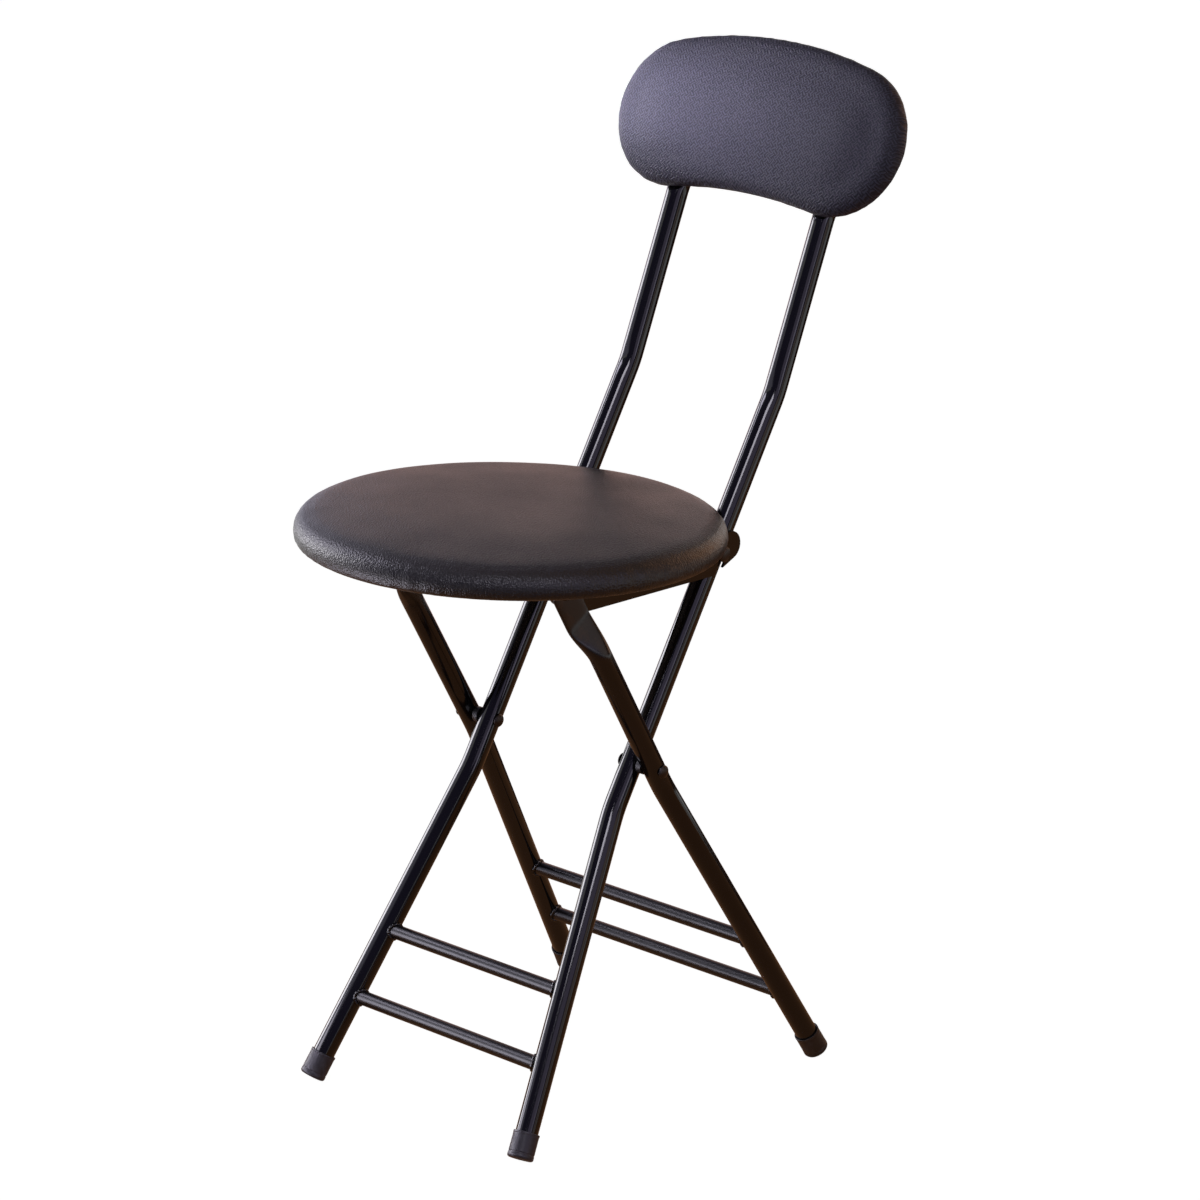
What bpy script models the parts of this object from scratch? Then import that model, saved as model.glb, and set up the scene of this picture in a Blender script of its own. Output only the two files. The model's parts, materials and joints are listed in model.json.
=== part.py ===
"""Folding stool with a round padded seat, a bean-shaped backrest and crossed tube legs.

The sitter faces -Y, so the sitter's left is +X.  Units are metres, +Z is up, and the
floor is z = 0.  Two back tubes run from the backrest down to the front feet.  Two rear
legs cross them on rivets, and their pressed-flat tops carry the front of the seat.  A
hook on each seat rail drops over a stud on the back tube.  The pivots and the stud make
an isosceles triangle, so the hook runs straight up the tube as the legs close.
"""
import math

import bmesh
import bpy
from mathutils import Matrix, Vector

# Fits
GAP = 0.0003                    # left between pieces that touch
RUN_GAP = 0.0004                # left beside a piece that slides past another

# Frame tubes
TUBE_RADIUS = 0.0085
TUBE_WALL = 0.0012
BAR_RADIUS = 0.0056
BAR_WALL = 0.001
CROSS_HEIGHT = 0.2632           # of the rivets where the legs cross
CROSS_GAP = 0.0055              # between the two tubes there
BACK_LEAN = 30.8                # degrees from upright, legs up to the upper bend
REAR_LEAN = 31.2
TOP_LEAN = 22.1                 # above the upper bend
BACK_HALF_SPAN = 0.0727         # from the middle to a back tube's axis
BACK_FOOT_HALF_SPAN = 0.1095    # the same on the floor
REAR_FOOT_HALF_SPAN = 0.1313
BACK_FLARE_DROP = 0.0384        # from the crossing down to the sideways bend
REAR_FLARE_DROP = 0.0174
UPPER_BEND_REACH = 0.2969       # from the crossing up to the upper bend
UPPER_BEND_RADIUS = 0.09
FLARE_BEND_RADIUS = 0.12
# From the crossing down the legs to the bars
FRONT_BAR_REACH = {"upper": 0.1773, "lower": 0.2329}
REAR_BAR_REACH = {"upper": 0.1824, "lower": 0.2391}

# Pressed-flat tops of the rear legs
PIVOT_REACH = 0.18              # from the crossing to the seat pivot
LEG_END_RADIUS = 0.012          # round end of the flat, and half its width
FLAT_THICKNESS = 0.003
FLAT_LENGTH = 0.024             # full flat below the pivot
PRESS_LENGTH = 0.018            # from the flat to the round tube

# Feet
FOOT_WALL = 0.0011
FOOT_LENGTH = 0.02
FOOT_SOLE = 0.005
FOOT_ROUND = 0.0018
FOOT_WEAR = 0.0006              # depth of the worn flat on the sole's low edge

# Fasteners
RIVET_RADIUS = 0.003
RIVET_HEAD_RADIUS = 0.0052
RIVET_HEAD_HEIGHT = 0.0021
SPACER_RADIUS = 0.0062
WASHER_RADIUS = 0.0075
STUD_RADIUS = 0.0035
STUD_HEAD_RADIUS = 0.006
STUD_HEAD_HEIGHT = 0.0015
BOLT_RADIUS = 0.0024
BOLT_HEAD_RADIUS = 0.0048
BOLT_HEAD_HEIGHT = 0.0024
BOLT_GRIP = 0.006               # length of a bolt inside the backrest board
SCREW_RADIUS = 0.0016
SCREW_HEAD_RADIUS = 0.0038
SCREW_HEAD_HEIGHT = 0.002
SCREW_GRIP = 0.0065             # length of a screw inside the seat board

# Seat
SEAT_RADIUS = 0.16
SEAT_TILT = 0.85                # degrees, down towards the back
SEAT_TUBE_GAP = 0.01            # from the rim to the front of a back tube
SEAT_RIM_HEIGHT = 0.0228
SEAT_RIM_DEPTH = 0.01           # how far the rim bulges past its seams
SEAT_CROWN = 0.006
SEAT_BOARD_THICKNESS = 0.009
SEAT_WRAP = 0.014               # padding outside the board's edge
PIVOT_CLEARANCE = 0.0015        # between the leg's round end and the board
LIP_WIDTH = 0.014               # covering turned under a board
LIP_THICKNESS = 0.0012

# Seat rails
RAIL_THICKNESS = 0.0022
RAIL_DEPTH = 0.034
RAIL_FLANGE = 0.018
RAIL_NOSE_RADIUS = 0.0095       # round the seat pivot
RAIL_SHOULDER = 0.024           # from the pivot back to the full depth
FLANGE_MARGIN = 0.004           # between the flange and the turned-under covering
EAR_RADIUS = 0.011
EAR_BACK = 0.007                # from the stud to the middle of the ear
EAR_UP = 0.0083                 # both before the seat is tilted
SCREW_STATIONS = ("front", "middle", "rear")
SCREW_MARGIN = 0.016            # from a flange's end to its first screw

# Backrest
BACKREST_REACH = 0.1415         # from the upper bend to the middle of the lower edge
BACKREST_WIDTH = 0.2764
BACKREST_END_RADIUS = 0.0585
BACKREST_DIP = 0.0063           # how far the ends hang below the middle
BACKREST_RISE = 0.01            # how far the middle stands above the ends
BACKREST_EDGE = 0.022           # thickness at the rim
BACKREST_EDGE_DEPTH = 0.011
BACKREST_CROWN = 0.005
BACKREST_BOARD_THICKNESS = 0.008
BACKREST_WRAP = 0.013
BOLT_HEIGHTS = {"lower": 0.028, "upper": 0.062}     # above the middle of the lower edge
TUBE_TOP_INSET = 0.035          # from the backrest's top down to the tube ends
TOP_FLAT = 0.006                # thickness of the tubes where they are pressed behind it
TOP_FLAT_START = 0.003          # above the middle of the lower edge
TOP_PRESS_LENGTH = 0.022        # from the flat down to the round tube

# Facets
TUBE_SIDES = 20
BAR_SIDES = 16
BEND_STEPS = 4
ROUND_SIDES = 18
HOLE_SIDES = 12
SEAT_SIDES = 56
CUT_REACH = 0.004               # how far a cutter runs past what it cuts

SIDES = {"left": 1, "right": -1}
X_AXIS = Vector((1, 0, 0))


# Places that the pieces share
def lean_direction(degrees):
    angle = math.radians(degrees)
    return Vector((0, math.sin(angle), math.cos(angle)))


BACK_UP = lean_direction(BACK_LEAN)
REAR_UP = lean_direction(-REAR_LEAN)
TOP_UP = lean_direction(TOP_LEAN)
TOP_FRONT = Vector((0, -TOP_UP.z, TOP_UP.y))
REAR_HALF_SPAN = BACK_HALF_SPAN + 2 * TUBE_RADIUS + CROSS_GAP
FOLD_ANGLE = math.radians(BACK_LEAN + REAR_LEAN)
STUD_REACH = 2 * PIVOT_REACH * math.cos(FOLD_ANGLE)

BACKREST_BACK = TOP_FLAT / 2 + GAP
BACKREST_LOBE = BACKREST_WIDTH / 2 - BACKREST_END_RADIUS
BACKREST_HEIGHT = 2 * BACKREST_END_RADIUS - BACKREST_DIP + BACKREST_RISE
TUBE_TOP = BACKREST_REACH + BACKREST_HEIGHT - TUBE_TOP_INSET
TOP_FLAT_HALF_WIDTH = (math.pi * (TUBE_RADIUS - TOP_FLAT / 2) + TOP_FLAT) / 2

# Heights of the seat, above the crossing
PIVOT_RISE = PIVOT_REACH * REAR_UP.z
BOARD_BOTTOM = CROSS_HEIGHT + PIVOT_RISE + LEG_END_RADIUS + PIVOT_CLEARANCE
LIP_TOP = BOARD_BOTTOM - GAP
SEAT_BOTTOM = LIP_TOP - LIP_THICKNESS
SEAT_SHOULDER = SEAT_BOTTOM + SEAT_RIM_HEIGHT
RIM_MIDDLE = SEAT_BOTTOM + SEAT_RIM_HEIGHT / 2

# Depths, measured from the crossing and then centred over the whole stool
tube_front = (RIM_MIDDLE - CROSS_HEIGHT) * BACK_UP.y / BACK_UP.z - TUBE_RADIUS / BACK_UP.z
seat_offset = tube_front - SEAT_TUBE_GAP - math.sqrt(SEAT_RADIUS**2 - BACK_HALF_SPAN**2)
tilt = math.radians(SEAT_TILT)
pivot_offset = PIVOT_REACH * REAR_UP.y
rim_front = seat_offset - SEAT_RADIUS + SEAT_RIM_DEPTH - pivot_offset
rim_above = RIM_MIDDLE - CROSS_HEIGHT - PIVOT_RISE
front_reach = pivot_offset + rim_front * math.cos(tilt) + rim_above * math.sin(tilt)
front_reach -= math.hypot(SEAT_RIM_DEPTH * math.cos(tilt),
                          SEAT_RIM_HEIGHT / 2 * math.sin(tilt))
rim_reach = math.hypot(BACKREST_EDGE_DEPTH * TOP_UP.y, BACKREST_EDGE / 2 * TOP_UP.z)
rear_reach = UPPER_BEND_REACH * BACK_UP.y + rim_reach
rear_reach += (BACKREST_REACH + BACKREST_HEIGHT - BACKREST_EDGE_DEPTH) * TOP_UP.y
rear_reach -= (BACKREST_BACK + BACKREST_EDGE / 2) * TOP_UP.z
CROSS_Y = -(front_reach + rear_reach) / 2
SEAT_Y = CROSS_Y + seat_offset

CROSSING = Vector((0, CROSS_Y, CROSS_HEIGHT))
PIVOT = CROSSING + PIVOT_REACH * REAR_UP
STUD = CROSSING + STUD_REACH * BACK_UP
UPPER_BEND = CROSSING + UPPER_BEND_REACH * BACK_UP
BACKREST_ORIGIN = UPPER_BEND + BACKREST_REACH * TOP_UP
RAIL_INNER = BACK_HALF_SPAN + TUBE_RADIUS + RUN_GAP
RAIL_OUTER = RAIL_INNER + RAIL_THICKNESS
LEG_INNER = REAR_HALF_SPAN - TUBE_RADIUS


def across(side, half_span, place):
    """The place in the side view, moved out to one side."""
    return Vector((side * half_span, place.y, place.z))


def floor_point(up, half_span):
    """Where a leg's axis meets the floor, on the left side."""
    drop = CROSS_HEIGHT / up.z
    return across(1, half_span, CROSSING - drop * up)


def mirrored(point, side):
    return Vector((side * point.x, point.y, point.z))


# Modelling tools
def clear_scene():
    for item in list(bpy.data.objects):
        bpy.data.objects.remove(item, do_unlink=True)


def finish_material(name, colour, roughness, metallic):
    material = bpy.data.materials.new(name)
    material.use_nodes = True
    shader = material.node_tree.nodes["Principled BSDF"]
    shader.inputs["Base Color"].default_value = (*colour, 1)
    shader.inputs["Roughness"].default_value = roughness
    shader.inputs["Metallic"].default_value = metallic
    return material


def add_object(name, mesh_data, material=None, parent=None):
    mesh = bpy.data.meshes.new(name)
    bmesh.ops.recalc_face_normals(mesh_data, faces=mesh_data.faces)
    mesh_data.to_mesh(mesh)
    mesh_data.free()
    mesh.shade_smooth()
    mesh.set_sharp_from_angle(angle=math.radians(35))
    item = bpy.data.objects.new(name, mesh)
    bpy.context.collection.objects.link(item)
    if material is None:
        item.hide_render = True
        item.display_type = "WIRE"
    else:
        mesh.materials.append(material)
    if parent is not None:
        item.parent = parent
        item.matrix_parent_inverse = Matrix.Translation(-parent.location)
    return item


def add_axis(name, place):
    """An empty on a joint's axis, which carries the pieces that turn about it."""
    axis = bpy.data.objects.new(name, None)
    axis.location = place
    bpy.context.collection.objects.link(axis)
    return axis


def cut(item, cutter):
    boolean = item.modifiers.new("cut", "BOOLEAN")
    boolean.operation = "DIFFERENCE"
    boolean.solver = "EXACT"
    boolean.object = cutter


def loft(mesh_data, rings, closed=False):
    """Skin a row of rings, with flat ends unless the last ring meets the first."""
    loops = [[mesh_data.verts.new(point) for point in ring] for ring in rings]
    pairs = list(zip(loops, loops[1:]))
    if closed:
        pairs.append((loops[-1], loops[0]))
    else:
        mesh_data.faces.new(loops[0])
        mesh_data.faces.new(loops[-1])
    count = len(loops[0])
    for near, far in pairs:
        for i in range(count):
            j = (i + 1) % count
            mesh_data.faces.new((near[i], near[j], far[j], far[i]))


def spun(mesh_data, profile, start, axis, sides=ROUND_SIDES):
    """Turn a profile of (radius, height) about the line from start along axis."""
    axis = axis.normalized()
    out = axis.orthogonal().normalized()
    points = [start + radius * out + height * axis for radius, height in profile]
    verts = [mesh_data.verts.new(point) for point in points]
    edges = [mesh_data.edges.new(pair) for pair in zip(verts, verts[1:])]
    bmesh.ops.spin(mesh_data, geom=verts + edges, cent=start, axis=axis,
                   angle=2 * math.pi, steps=sides, use_merge=True)
    bmesh.ops.remove_doubles(mesh_data, verts=mesh_data.verts, dist=1e-6)


def rod(mesh_data, start, end, radius, sides=ROUND_SIDES):
    span = end - start
    profile = [(0, 0), (radius, 0), (radius, span.length), (0, span.length)]
    spun(mesh_data, profile, start, span, sides)


def dome(radius, height, base, steps=3):
    """Profile of a low domed head that rises from base, rim first."""
    turns = [math.pi / 2 * i / steps for i in range(steps + 1)]
    return [(radius * math.cos(turn), base + height * math.sin(turn)) for turn in turns]


def tube_ring(place, along, radius, sides, wide=1.0, thick=1.0, squareness=2.0, shift=0.0):
    """A ring square to a tube; wide, thick and squareness press it towards a flat."""
    across_tube = (X_AXIS - X_AXIS.dot(along) * along).normalized()
    deep = along.cross(across_tube)
    ring = []
    for i in range(sides):
        turn = 2 * math.pi * i / sides
        reach = [math.cos(turn), math.sin(turn)]
        reach = [math.copysign(abs(part) ** (2 / squareness), part) for part in reach]
        offset = (shift + radius * thick * reach[0]) * across_tube
        ring.append(place + offset + radius * wide * reach[1] * deep)
    return ring


def rounded_path(corners, radii):
    """Stations (place, direction) along straight runs joined by round bends."""
    stations = [(corners[0], (corners[1] - corners[0]).normalized())]
    for before, corner, after, radius in zip(corners, corners[1:], corners[2:], radii):
        arrive = (corner - before).normalized()
        leave = (after - corner).normalized()
        bend = arrive.angle(leave)
        begin = corner - radius * math.tan(bend / 2) * arrive
        inward = (leave - leave.dot(arrive) * arrive).normalized()
        centre = begin + radius * inward
        for i in range(BEND_STEPS + 1):
            turn = bend * i / BEND_STEPS
            place = centre + radius * (math.sin(turn) * arrive - math.cos(turn) * inward)
            stations.append((place, math.cos(turn) * arrive + math.sin(turn) * inward))
    stations.append((corners[-1], (corners[-1] - corners[-2]).normalized()))
    return stations


# Feet, and the ends of the legs that stand in them
def foot_end(bend, ground):
    """The middle of a foot's sole, placed so that its low edge wears flat on the floor."""
    down = (ground - bend).normalized()
    radius = TUBE_RADIUS + GAP + FOOT_WALL - FOOT_ROUND
    tilt = math.sqrt(1 - down.z**2)
    height = radius * tilt + FOOT_ROUND + FOOT_ROUND * down.z - FOOT_WEAR
    return ground + height / down.z * down, down


def add_foot(name, end, down, material, parent=None):
    outer = TUBE_RADIUS + GAP + FOOT_WALL
    bore = TUBE_RADIUS + GAP
    floor_depth = FOOT_LENGTH - FOOT_SOLE
    profile = [(0, floor_depth), (bore, floor_depth), (bore, 0), (outer - FOOT_WALL / 2, 0)]
    profile += [(outer, FOOT_WALL / 2)]
    for i in range(4):
        turn = math.pi / 2 * i / 3
        radius = outer - FOOT_ROUND * (1 - math.cos(turn))
        profile.append((radius, FOOT_LENGTH - FOOT_ROUND * (1 - math.sin(turn))))
    profile.append((0, FOOT_LENGTH))
    foot = bmesh.new()
    spun(foot, profile, end - FOOT_LENGTH * down, down)
    everything = foot.verts[:] + foot.edges[:] + foot.faces[:]
    sliced = bmesh.ops.bisect_plane(foot, geom=everything, plane_co=(0, 0, 0),
                                    plane_no=(0, 0, -1), clear_outer=True)
    rim = [part for part in sliced["geom_cut"] if isinstance(part, bmesh.types.BMEdge)]
    bmesh.ops.contextual_create(foot, geom=rim)
    return add_object(name, foot, material, parent)


def leg_bottom(bend, ground):
    end, down = foot_end(bend, ground)
    return end - (FOOT_SOLE + GAP) * down


# Back tubes
BACK_BEND = across(1, BACK_HALF_SPAN, CROSSING - BACK_FLARE_DROP * BACK_UP)
BACK_GROUND = floor_point(BACK_UP, BACK_FOOT_HALF_SPAN)
REAR_BEND = across(1, REAR_HALF_SPAN, CROSSING - REAR_FLARE_DROP * REAR_UP)
REAR_GROUND = floor_point(REAR_UP, REAR_FOOT_HALF_SPAN)


def back_top_rings(side, inset):
    """Rings from the open top, pressed flat behind the backrest, down to the round tube."""
    heights = [TUBE_TOP - BACKREST_REACH]
    heights += [TOP_FLAT_START - TOP_PRESS_LENGTH * i / 6 for i in range(6)]
    rings = []
    for height in heights:
        pressed = min(1 - (TOP_FLAT_START - height) / TOP_PRESS_LENGTH, 1)
        pressed = pressed * pressed * (3 - 2 * pressed)
        half_thick = TUBE_RADIUS + pressed * (TOP_FLAT / 2 - TUBE_RADIUS)
        half_width = TUBE_RADIUS + pressed * (TOP_FLAT_HALF_WIDTH - TUBE_RADIUS)
        place = across(side, BACK_HALF_SPAN, BACKREST_ORIGIN + height * TOP_UP)
        rings.append(tube_ring(place, -TOP_UP, 1.0, TUBE_SIDES, wide=half_thick - inset,
                               thick=half_width - inset, squareness=2 + pressed))
    return rings


def back_stations(side):
    """Stations of the round tube, from the press down to the foot."""
    top = BACKREST_ORIGIN + (TOP_FLAT_START - TOP_PRESS_LENGTH) * TOP_UP
    top = across(1, BACK_HALF_SPAN, top)
    elbow = across(1, BACK_HALF_SPAN, UPPER_BEND)
    corners = [top, elbow, BACK_BEND, leg_bottom(BACK_BEND, BACK_GROUND)]
    corners = [mirrored(corner, side) for corner in corners]
    return rounded_path(corners, [UPPER_BEND_RADIUS, FLARE_BEND_RADIUS])


def add_back_tube(name, side, material):
    tube = bmesh.new()
    stations = back_stations(side)
    outer, bore = back_top_rings(side, 0), back_top_rings(side, TUBE_WALL)
    outer += [tube_ring(*station, TUBE_RADIUS, TUBE_SIDES) for station in stations]
    bore += [tube_ring(*station, TUBE_RADIUS - TUBE_WALL, TUBE_SIDES) for station in stations]
    loft(tube, outer + bore[::-1], closed=True)
    tube = add_object(name, tube, material)
    holes = bmesh.new()
    reach = TUBE_RADIUS + CUT_REACH
    for place, radius in ((CROSSING, RIVET_RADIUS), (STUD, STUD_RADIUS)):
        middle = across(side, BACK_HALF_SPAN, place)
        rod(holes, middle - reach * X_AXIS, middle + reach * X_AXIS, radius + GAP, HOLE_SIDES)
    for height in BOLT_HEIGHTS.values():
        middle = across(side, BACK_HALF_SPAN, BACKREST_ORIGIN + height * TOP_UP)
        rod(holes, middle - reach * TOP_FRONT, middle + reach * TOP_FRONT, BOLT_RADIUS + GAP,
            HOLE_SIDES)
    cut(tube, add_object(name + "_holes", holes))
    return tube


# Rear legs, with their tops pressed flat against the rails
def leg_station(distance):
    """Place, and how far pressed (0 round, 1 flat), at a distance above the crossing."""
    flat_start = PIVOT_REACH - FLAT_LENGTH
    pressed = (distance - flat_start + PRESS_LENGTH) / PRESS_LENGTH
    pressed = min(max(pressed, 0), 1)
    return CROSSING + distance * REAR_UP, pressed * pressed * (3 - 2 * pressed)


def leg_top_rings(side):
    """Rings from the round end down to the start of the press."""
    start = PIVOT_REACH - FLAT_LENGTH - PRESS_LENGTH
    distances = []
    for i in range(5):
        turn = math.radians(78) * (1 - i / 4)
        distances.append(PIVOT_REACH + LEG_END_RADIUS * math.sin(turn))
    distances.append(PIVOT_REACH - FLAT_LENGTH)
    distances += [start + PRESS_LENGTH * (1 - i / 6) for i in range(1, 7)]
    rings = []
    for distance in distances:
        place, pressed = leg_station(distance)
        beyond = max(distance - PIVOT_REACH, 0)
        half_width = TUBE_RADIUS + pressed * (LEG_END_RADIUS - TUBE_RADIUS)
        half_width *= math.sqrt(1 - (beyond / LEG_END_RADIUS) ** 2)
        half_thick = TUBE_RADIUS + pressed * (FLAT_THICKNESS / 2 - TUBE_RADIUS)
        shift = side * (half_thick - TUBE_RADIUS)
        rings.append(tube_ring(across(side, REAR_HALF_SPAN, place), -REAR_UP, 1.0, TUBE_SIDES,
                               wide=half_width, thick=half_thick,
                               squareness=2 + 2.5 * pressed, shift=shift))
    return rings


def rear_stations(side):
    start = PIVOT_REACH - FLAT_LENGTH - PRESS_LENGTH
    top = across(1, REAR_HALF_SPAN, leg_station(start)[0])
    corners = [top, REAR_BEND, leg_bottom(REAR_BEND, REAR_GROUND)]
    corners = [mirrored(corner, side) for corner in corners]
    return rounded_path(corners, [FLARE_BEND_RADIUS])


def add_rear_leg(name, side, material, parent):
    stations = rear_stations(side)
    rings = leg_top_rings(side)
    rings += [tube_ring(*station, TUBE_RADIUS, TUBE_SIDES) for station in stations[1:]]
    bore = [tube_ring(*station, TUBE_RADIUS - TUBE_WALL, TUBE_SIDES) for station in stations]
    leg = bmesh.new()
    loft(leg, rings + bore[::-1])
    leg = add_object(name, leg, material, parent)
    holes = bmesh.new()
    reach = TUBE_RADIUS + CUT_REACH
    for place in (CROSSING, PIVOT):
        middle = across(side, REAR_HALF_SPAN, place)
        rod(holes, middle - reach * X_AXIS, middle + reach * X_AXIS, RIVET_RADIUS + GAP,
            HOLE_SIDES)
    cut(leg, add_object(name + "_holes", holes, parent=parent))
    return leg


# Bars between the legs, with their ends coped to the tubes
def leg_clearance(name, bend, ground, parent=None):
    legs = bmesh.new()
    for side in SIDES.values():
        rod(legs, mirrored(bend, side), mirrored(ground, side), TUBE_RADIUS + GAP, TUBE_SIDES)
    return add_object(name, legs, parent=parent)


def add_bar(name, drop, bend, ground, clearance, material, parent=None):
    """A bar between two legs, at a drop below the crossing."""
    middle = ground + (bend - ground) * ((CROSS_HEIGHT - drop) / bend.z)
    ends = [mirrored(middle, side) for side in (-1, 1)]
    bar = bmesh.new()
    rings = []
    for radius, order in ((BAR_RADIUS, ends), (BAR_RADIUS - BAR_WALL, ends[::-1])):
        for place in order:
            turns = [2 * math.pi * i / BAR_SIDES for i in range(BAR_SIDES)]
            rings.append([place + radius * Vector((0, math.cos(t), math.sin(t))) for t in turns])
    loft(bar, rings, closed=True)
    bar = add_object(name, bar, material, parent)
    cut(bar, clearance)
    return bar


# Rivets, studs and their spacers
def add_headed_pin(name, side, place, inner, outer, radius, heads, material, parent=None):
    """A pin across one side of the stool; heads gives (radius, height), inner end first."""
    inner_head, outer_head = heads
    length = outer - inner
    profile = [(r, -h) for r, h in dome(*inner_head, 0)][::-1]
    profile += [(radius, 0), (radius, length)]
    profile += dome(*outer_head, length)
    pin = bmesh.new()
    spun(pin, profile, across(side, inner, place), side * X_AXIS)
    return add_object(name, pin, material, parent)


def add_ring(name, side, place, inner, outer, radius, bore, material, parent=None):
    profile = [(bore, 0), (radius, 0), (radius, outer - inner), (bore, outer - inner), (bore, 0)]
    ring = bmesh.new()
    spun(ring, profile, across(side, inner, place), side * X_AXIS)
    return add_object(name, ring, material, parent)


# Seat
def tilt_seat(mesh_data):
    """Tip what is drawn level about the seat pivot, so that the seat slopes to the back."""
    turn = Matrix.Rotation(-math.radians(SEAT_TILT), 3, "X")
    bmesh.ops.rotate(mesh_data, cent=PIVOT, matrix=turn, verts=mesh_data.verts)


def add_seat_pad(name, material, parent):
    board_edge = SEAT_RADIUS - SEAT_WRAP
    lip_edge = board_edge - LIP_WIDTH
    shoulder = SEAT_RADIUS - SEAT_RIM_DEPTH
    ceiling = BOARD_BOTTOM + SEAT_BOARD_THICKNESS + GAP
    profile = []
    for i in range(6):
        radius = shoulder * i / 6
        profile.append((radius, SEAT_SHOULDER + SEAT_CROWN * (1 - (radius / shoulder) ** 2)))
    for i in range(9):
        turn = math.pi / 2 - math.pi * i / 8
        profile.append((shoulder + SEAT_RIM_DEPTH * math.cos(turn),
                        RIM_MIDDLE + SEAT_RIM_HEIGHT / 2 * math.sin(turn)))
    profile += [(lip_edge, SEAT_BOTTOM), (lip_edge, LIP_TOP), (board_edge + GAP, LIP_TOP)]
    profile += [(board_edge + GAP, ceiling), (0, ceiling)]
    pad = bmesh.new()
    spun(pad, profile, Vector((0, SEAT_Y, 0)), Vector((0, 0, 1)), SEAT_SIDES)
    tilt_seat(pad)
    return add_object(name, pad, material, parent)


def flange_ends():
    lip_edge = SEAT_RADIUS - SEAT_WRAP - LIP_WIDTH
    back = SEAT_Y + math.sqrt(lip_edge**2 - RAIL_OUTER**2) - FLANGE_MARGIN
    return PIVOT.y - RAIL_NOSE_RADIUS, back


def screw_places():
    front, back = flange_ends()
    pitch = (back - front - 2 * SCREW_MARGIN) / (len(SCREW_STATIONS) - 1)
    middle = RAIL_OUTER - RAIL_FLANGE / 2
    places = {}
    for word, side in SIDES.items():
        for i, station in enumerate(SCREW_STATIONS):
            depth = front + SCREW_MARGIN + pitch * i
            places[word + "_" + station] = Vector((side * middle, depth, BOARD_BOTTOM))
    return places


def add_seat_board(name, material, parent, holes):
    board = bmesh.new()
    bottom = Vector((0, SEAT_Y, BOARD_BOTTOM))
    rod(board, bottom, bottom + Vector((0, 0, SEAT_BOARD_THICKNESS)),
        SEAT_RADIUS - SEAT_WRAP, SEAT_SIDES)
    tilt_seat(board)
    board = add_object(name, board, material, parent)
    cut(board, holes)
    return board


def screw_cutter(name, parent):
    holes = bmesh.new()
    for place in screw_places().values():
        below = Vector((0, 0, RAIL_THICKNESS + CUT_REACH))
        above = Vector((0, 0, SEAT_BOARD_THICKNESS + CUT_REACH))
        rod(holes, place - below, place + above, SCREW_RADIUS + GAP, HOLE_SIDES)
    tilt_seat(holes)
    return add_object(name, holes, parent=parent)


def add_rail_screw(name, place, material, parent):
    under = place - Vector((0, 0, 2 * GAP + RAIL_THICKNESS))
    length = SCREW_GRIP + 2 * GAP + RAIL_THICKNESS
    profile = [(r, -h) for r, h in dome(SCREW_HEAD_RADIUS, SCREW_HEAD_HEIGHT, 0)][::-1]
    profile += [(SCREW_RADIUS, 0), (SCREW_RADIUS, length), (0, length)]
    screw = bmesh.new()
    spun(screw, profile, under, Vector((0, 0, 1)), 12)
    tilt_seat(screw)
    return add_object(name, screw, material, parent)


# Seat rails: a pressed angle with a round nose at the pivot and a hook at the stud
def arc(centre, radius, first, last, steps=8):
    """Points (y, z) round a centre, angles in degrees from +Y towards +Z."""
    turns = [math.radians(first + (last - first) * i / steps) for i in range(steps + 1)]
    return [(centre[0] + radius * math.cos(t), centre[1] + radius * math.sin(t)) for t in turns]


def rail_outline():
    low = BOARD_BOTTOM - RAIL_DEPTH
    high = BOARD_BOTTOM - GAP - RAIL_THICKNESS / 2
    under_lip = SEAT_BOTTOM - GAP
    ear = (STUD.y + EAR_BACK, STUD.z + EAR_UP)
    flange_back = flange_ends()[1]
    outline = [(PIVOT.y - RAIL_NOSE_RADIUS, high)]
    outline += arc((PIVOT.y, PIVOT.z), RAIL_NOSE_RADIUS, 180, 250)
    outline += [(PIVOT.y + RAIL_SHOULDER, low), (STUD.y - EAR_RADIUS, low)]
    outline += arc(ear, EAR_RADIUS, -70, 120, 12)
    outline += [(STUD.y - EAR_RADIUS / 2, under_lip), (flange_back, under_lip), (flange_back, high)]
    return outline


def prism(mesh_data, outline, near, far):
    """Extrude an outline in the side view from one x to another."""
    loft(mesh_data, [[Vector((x, y, z)) for y, z in outline] for x in (near, far)])


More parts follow.
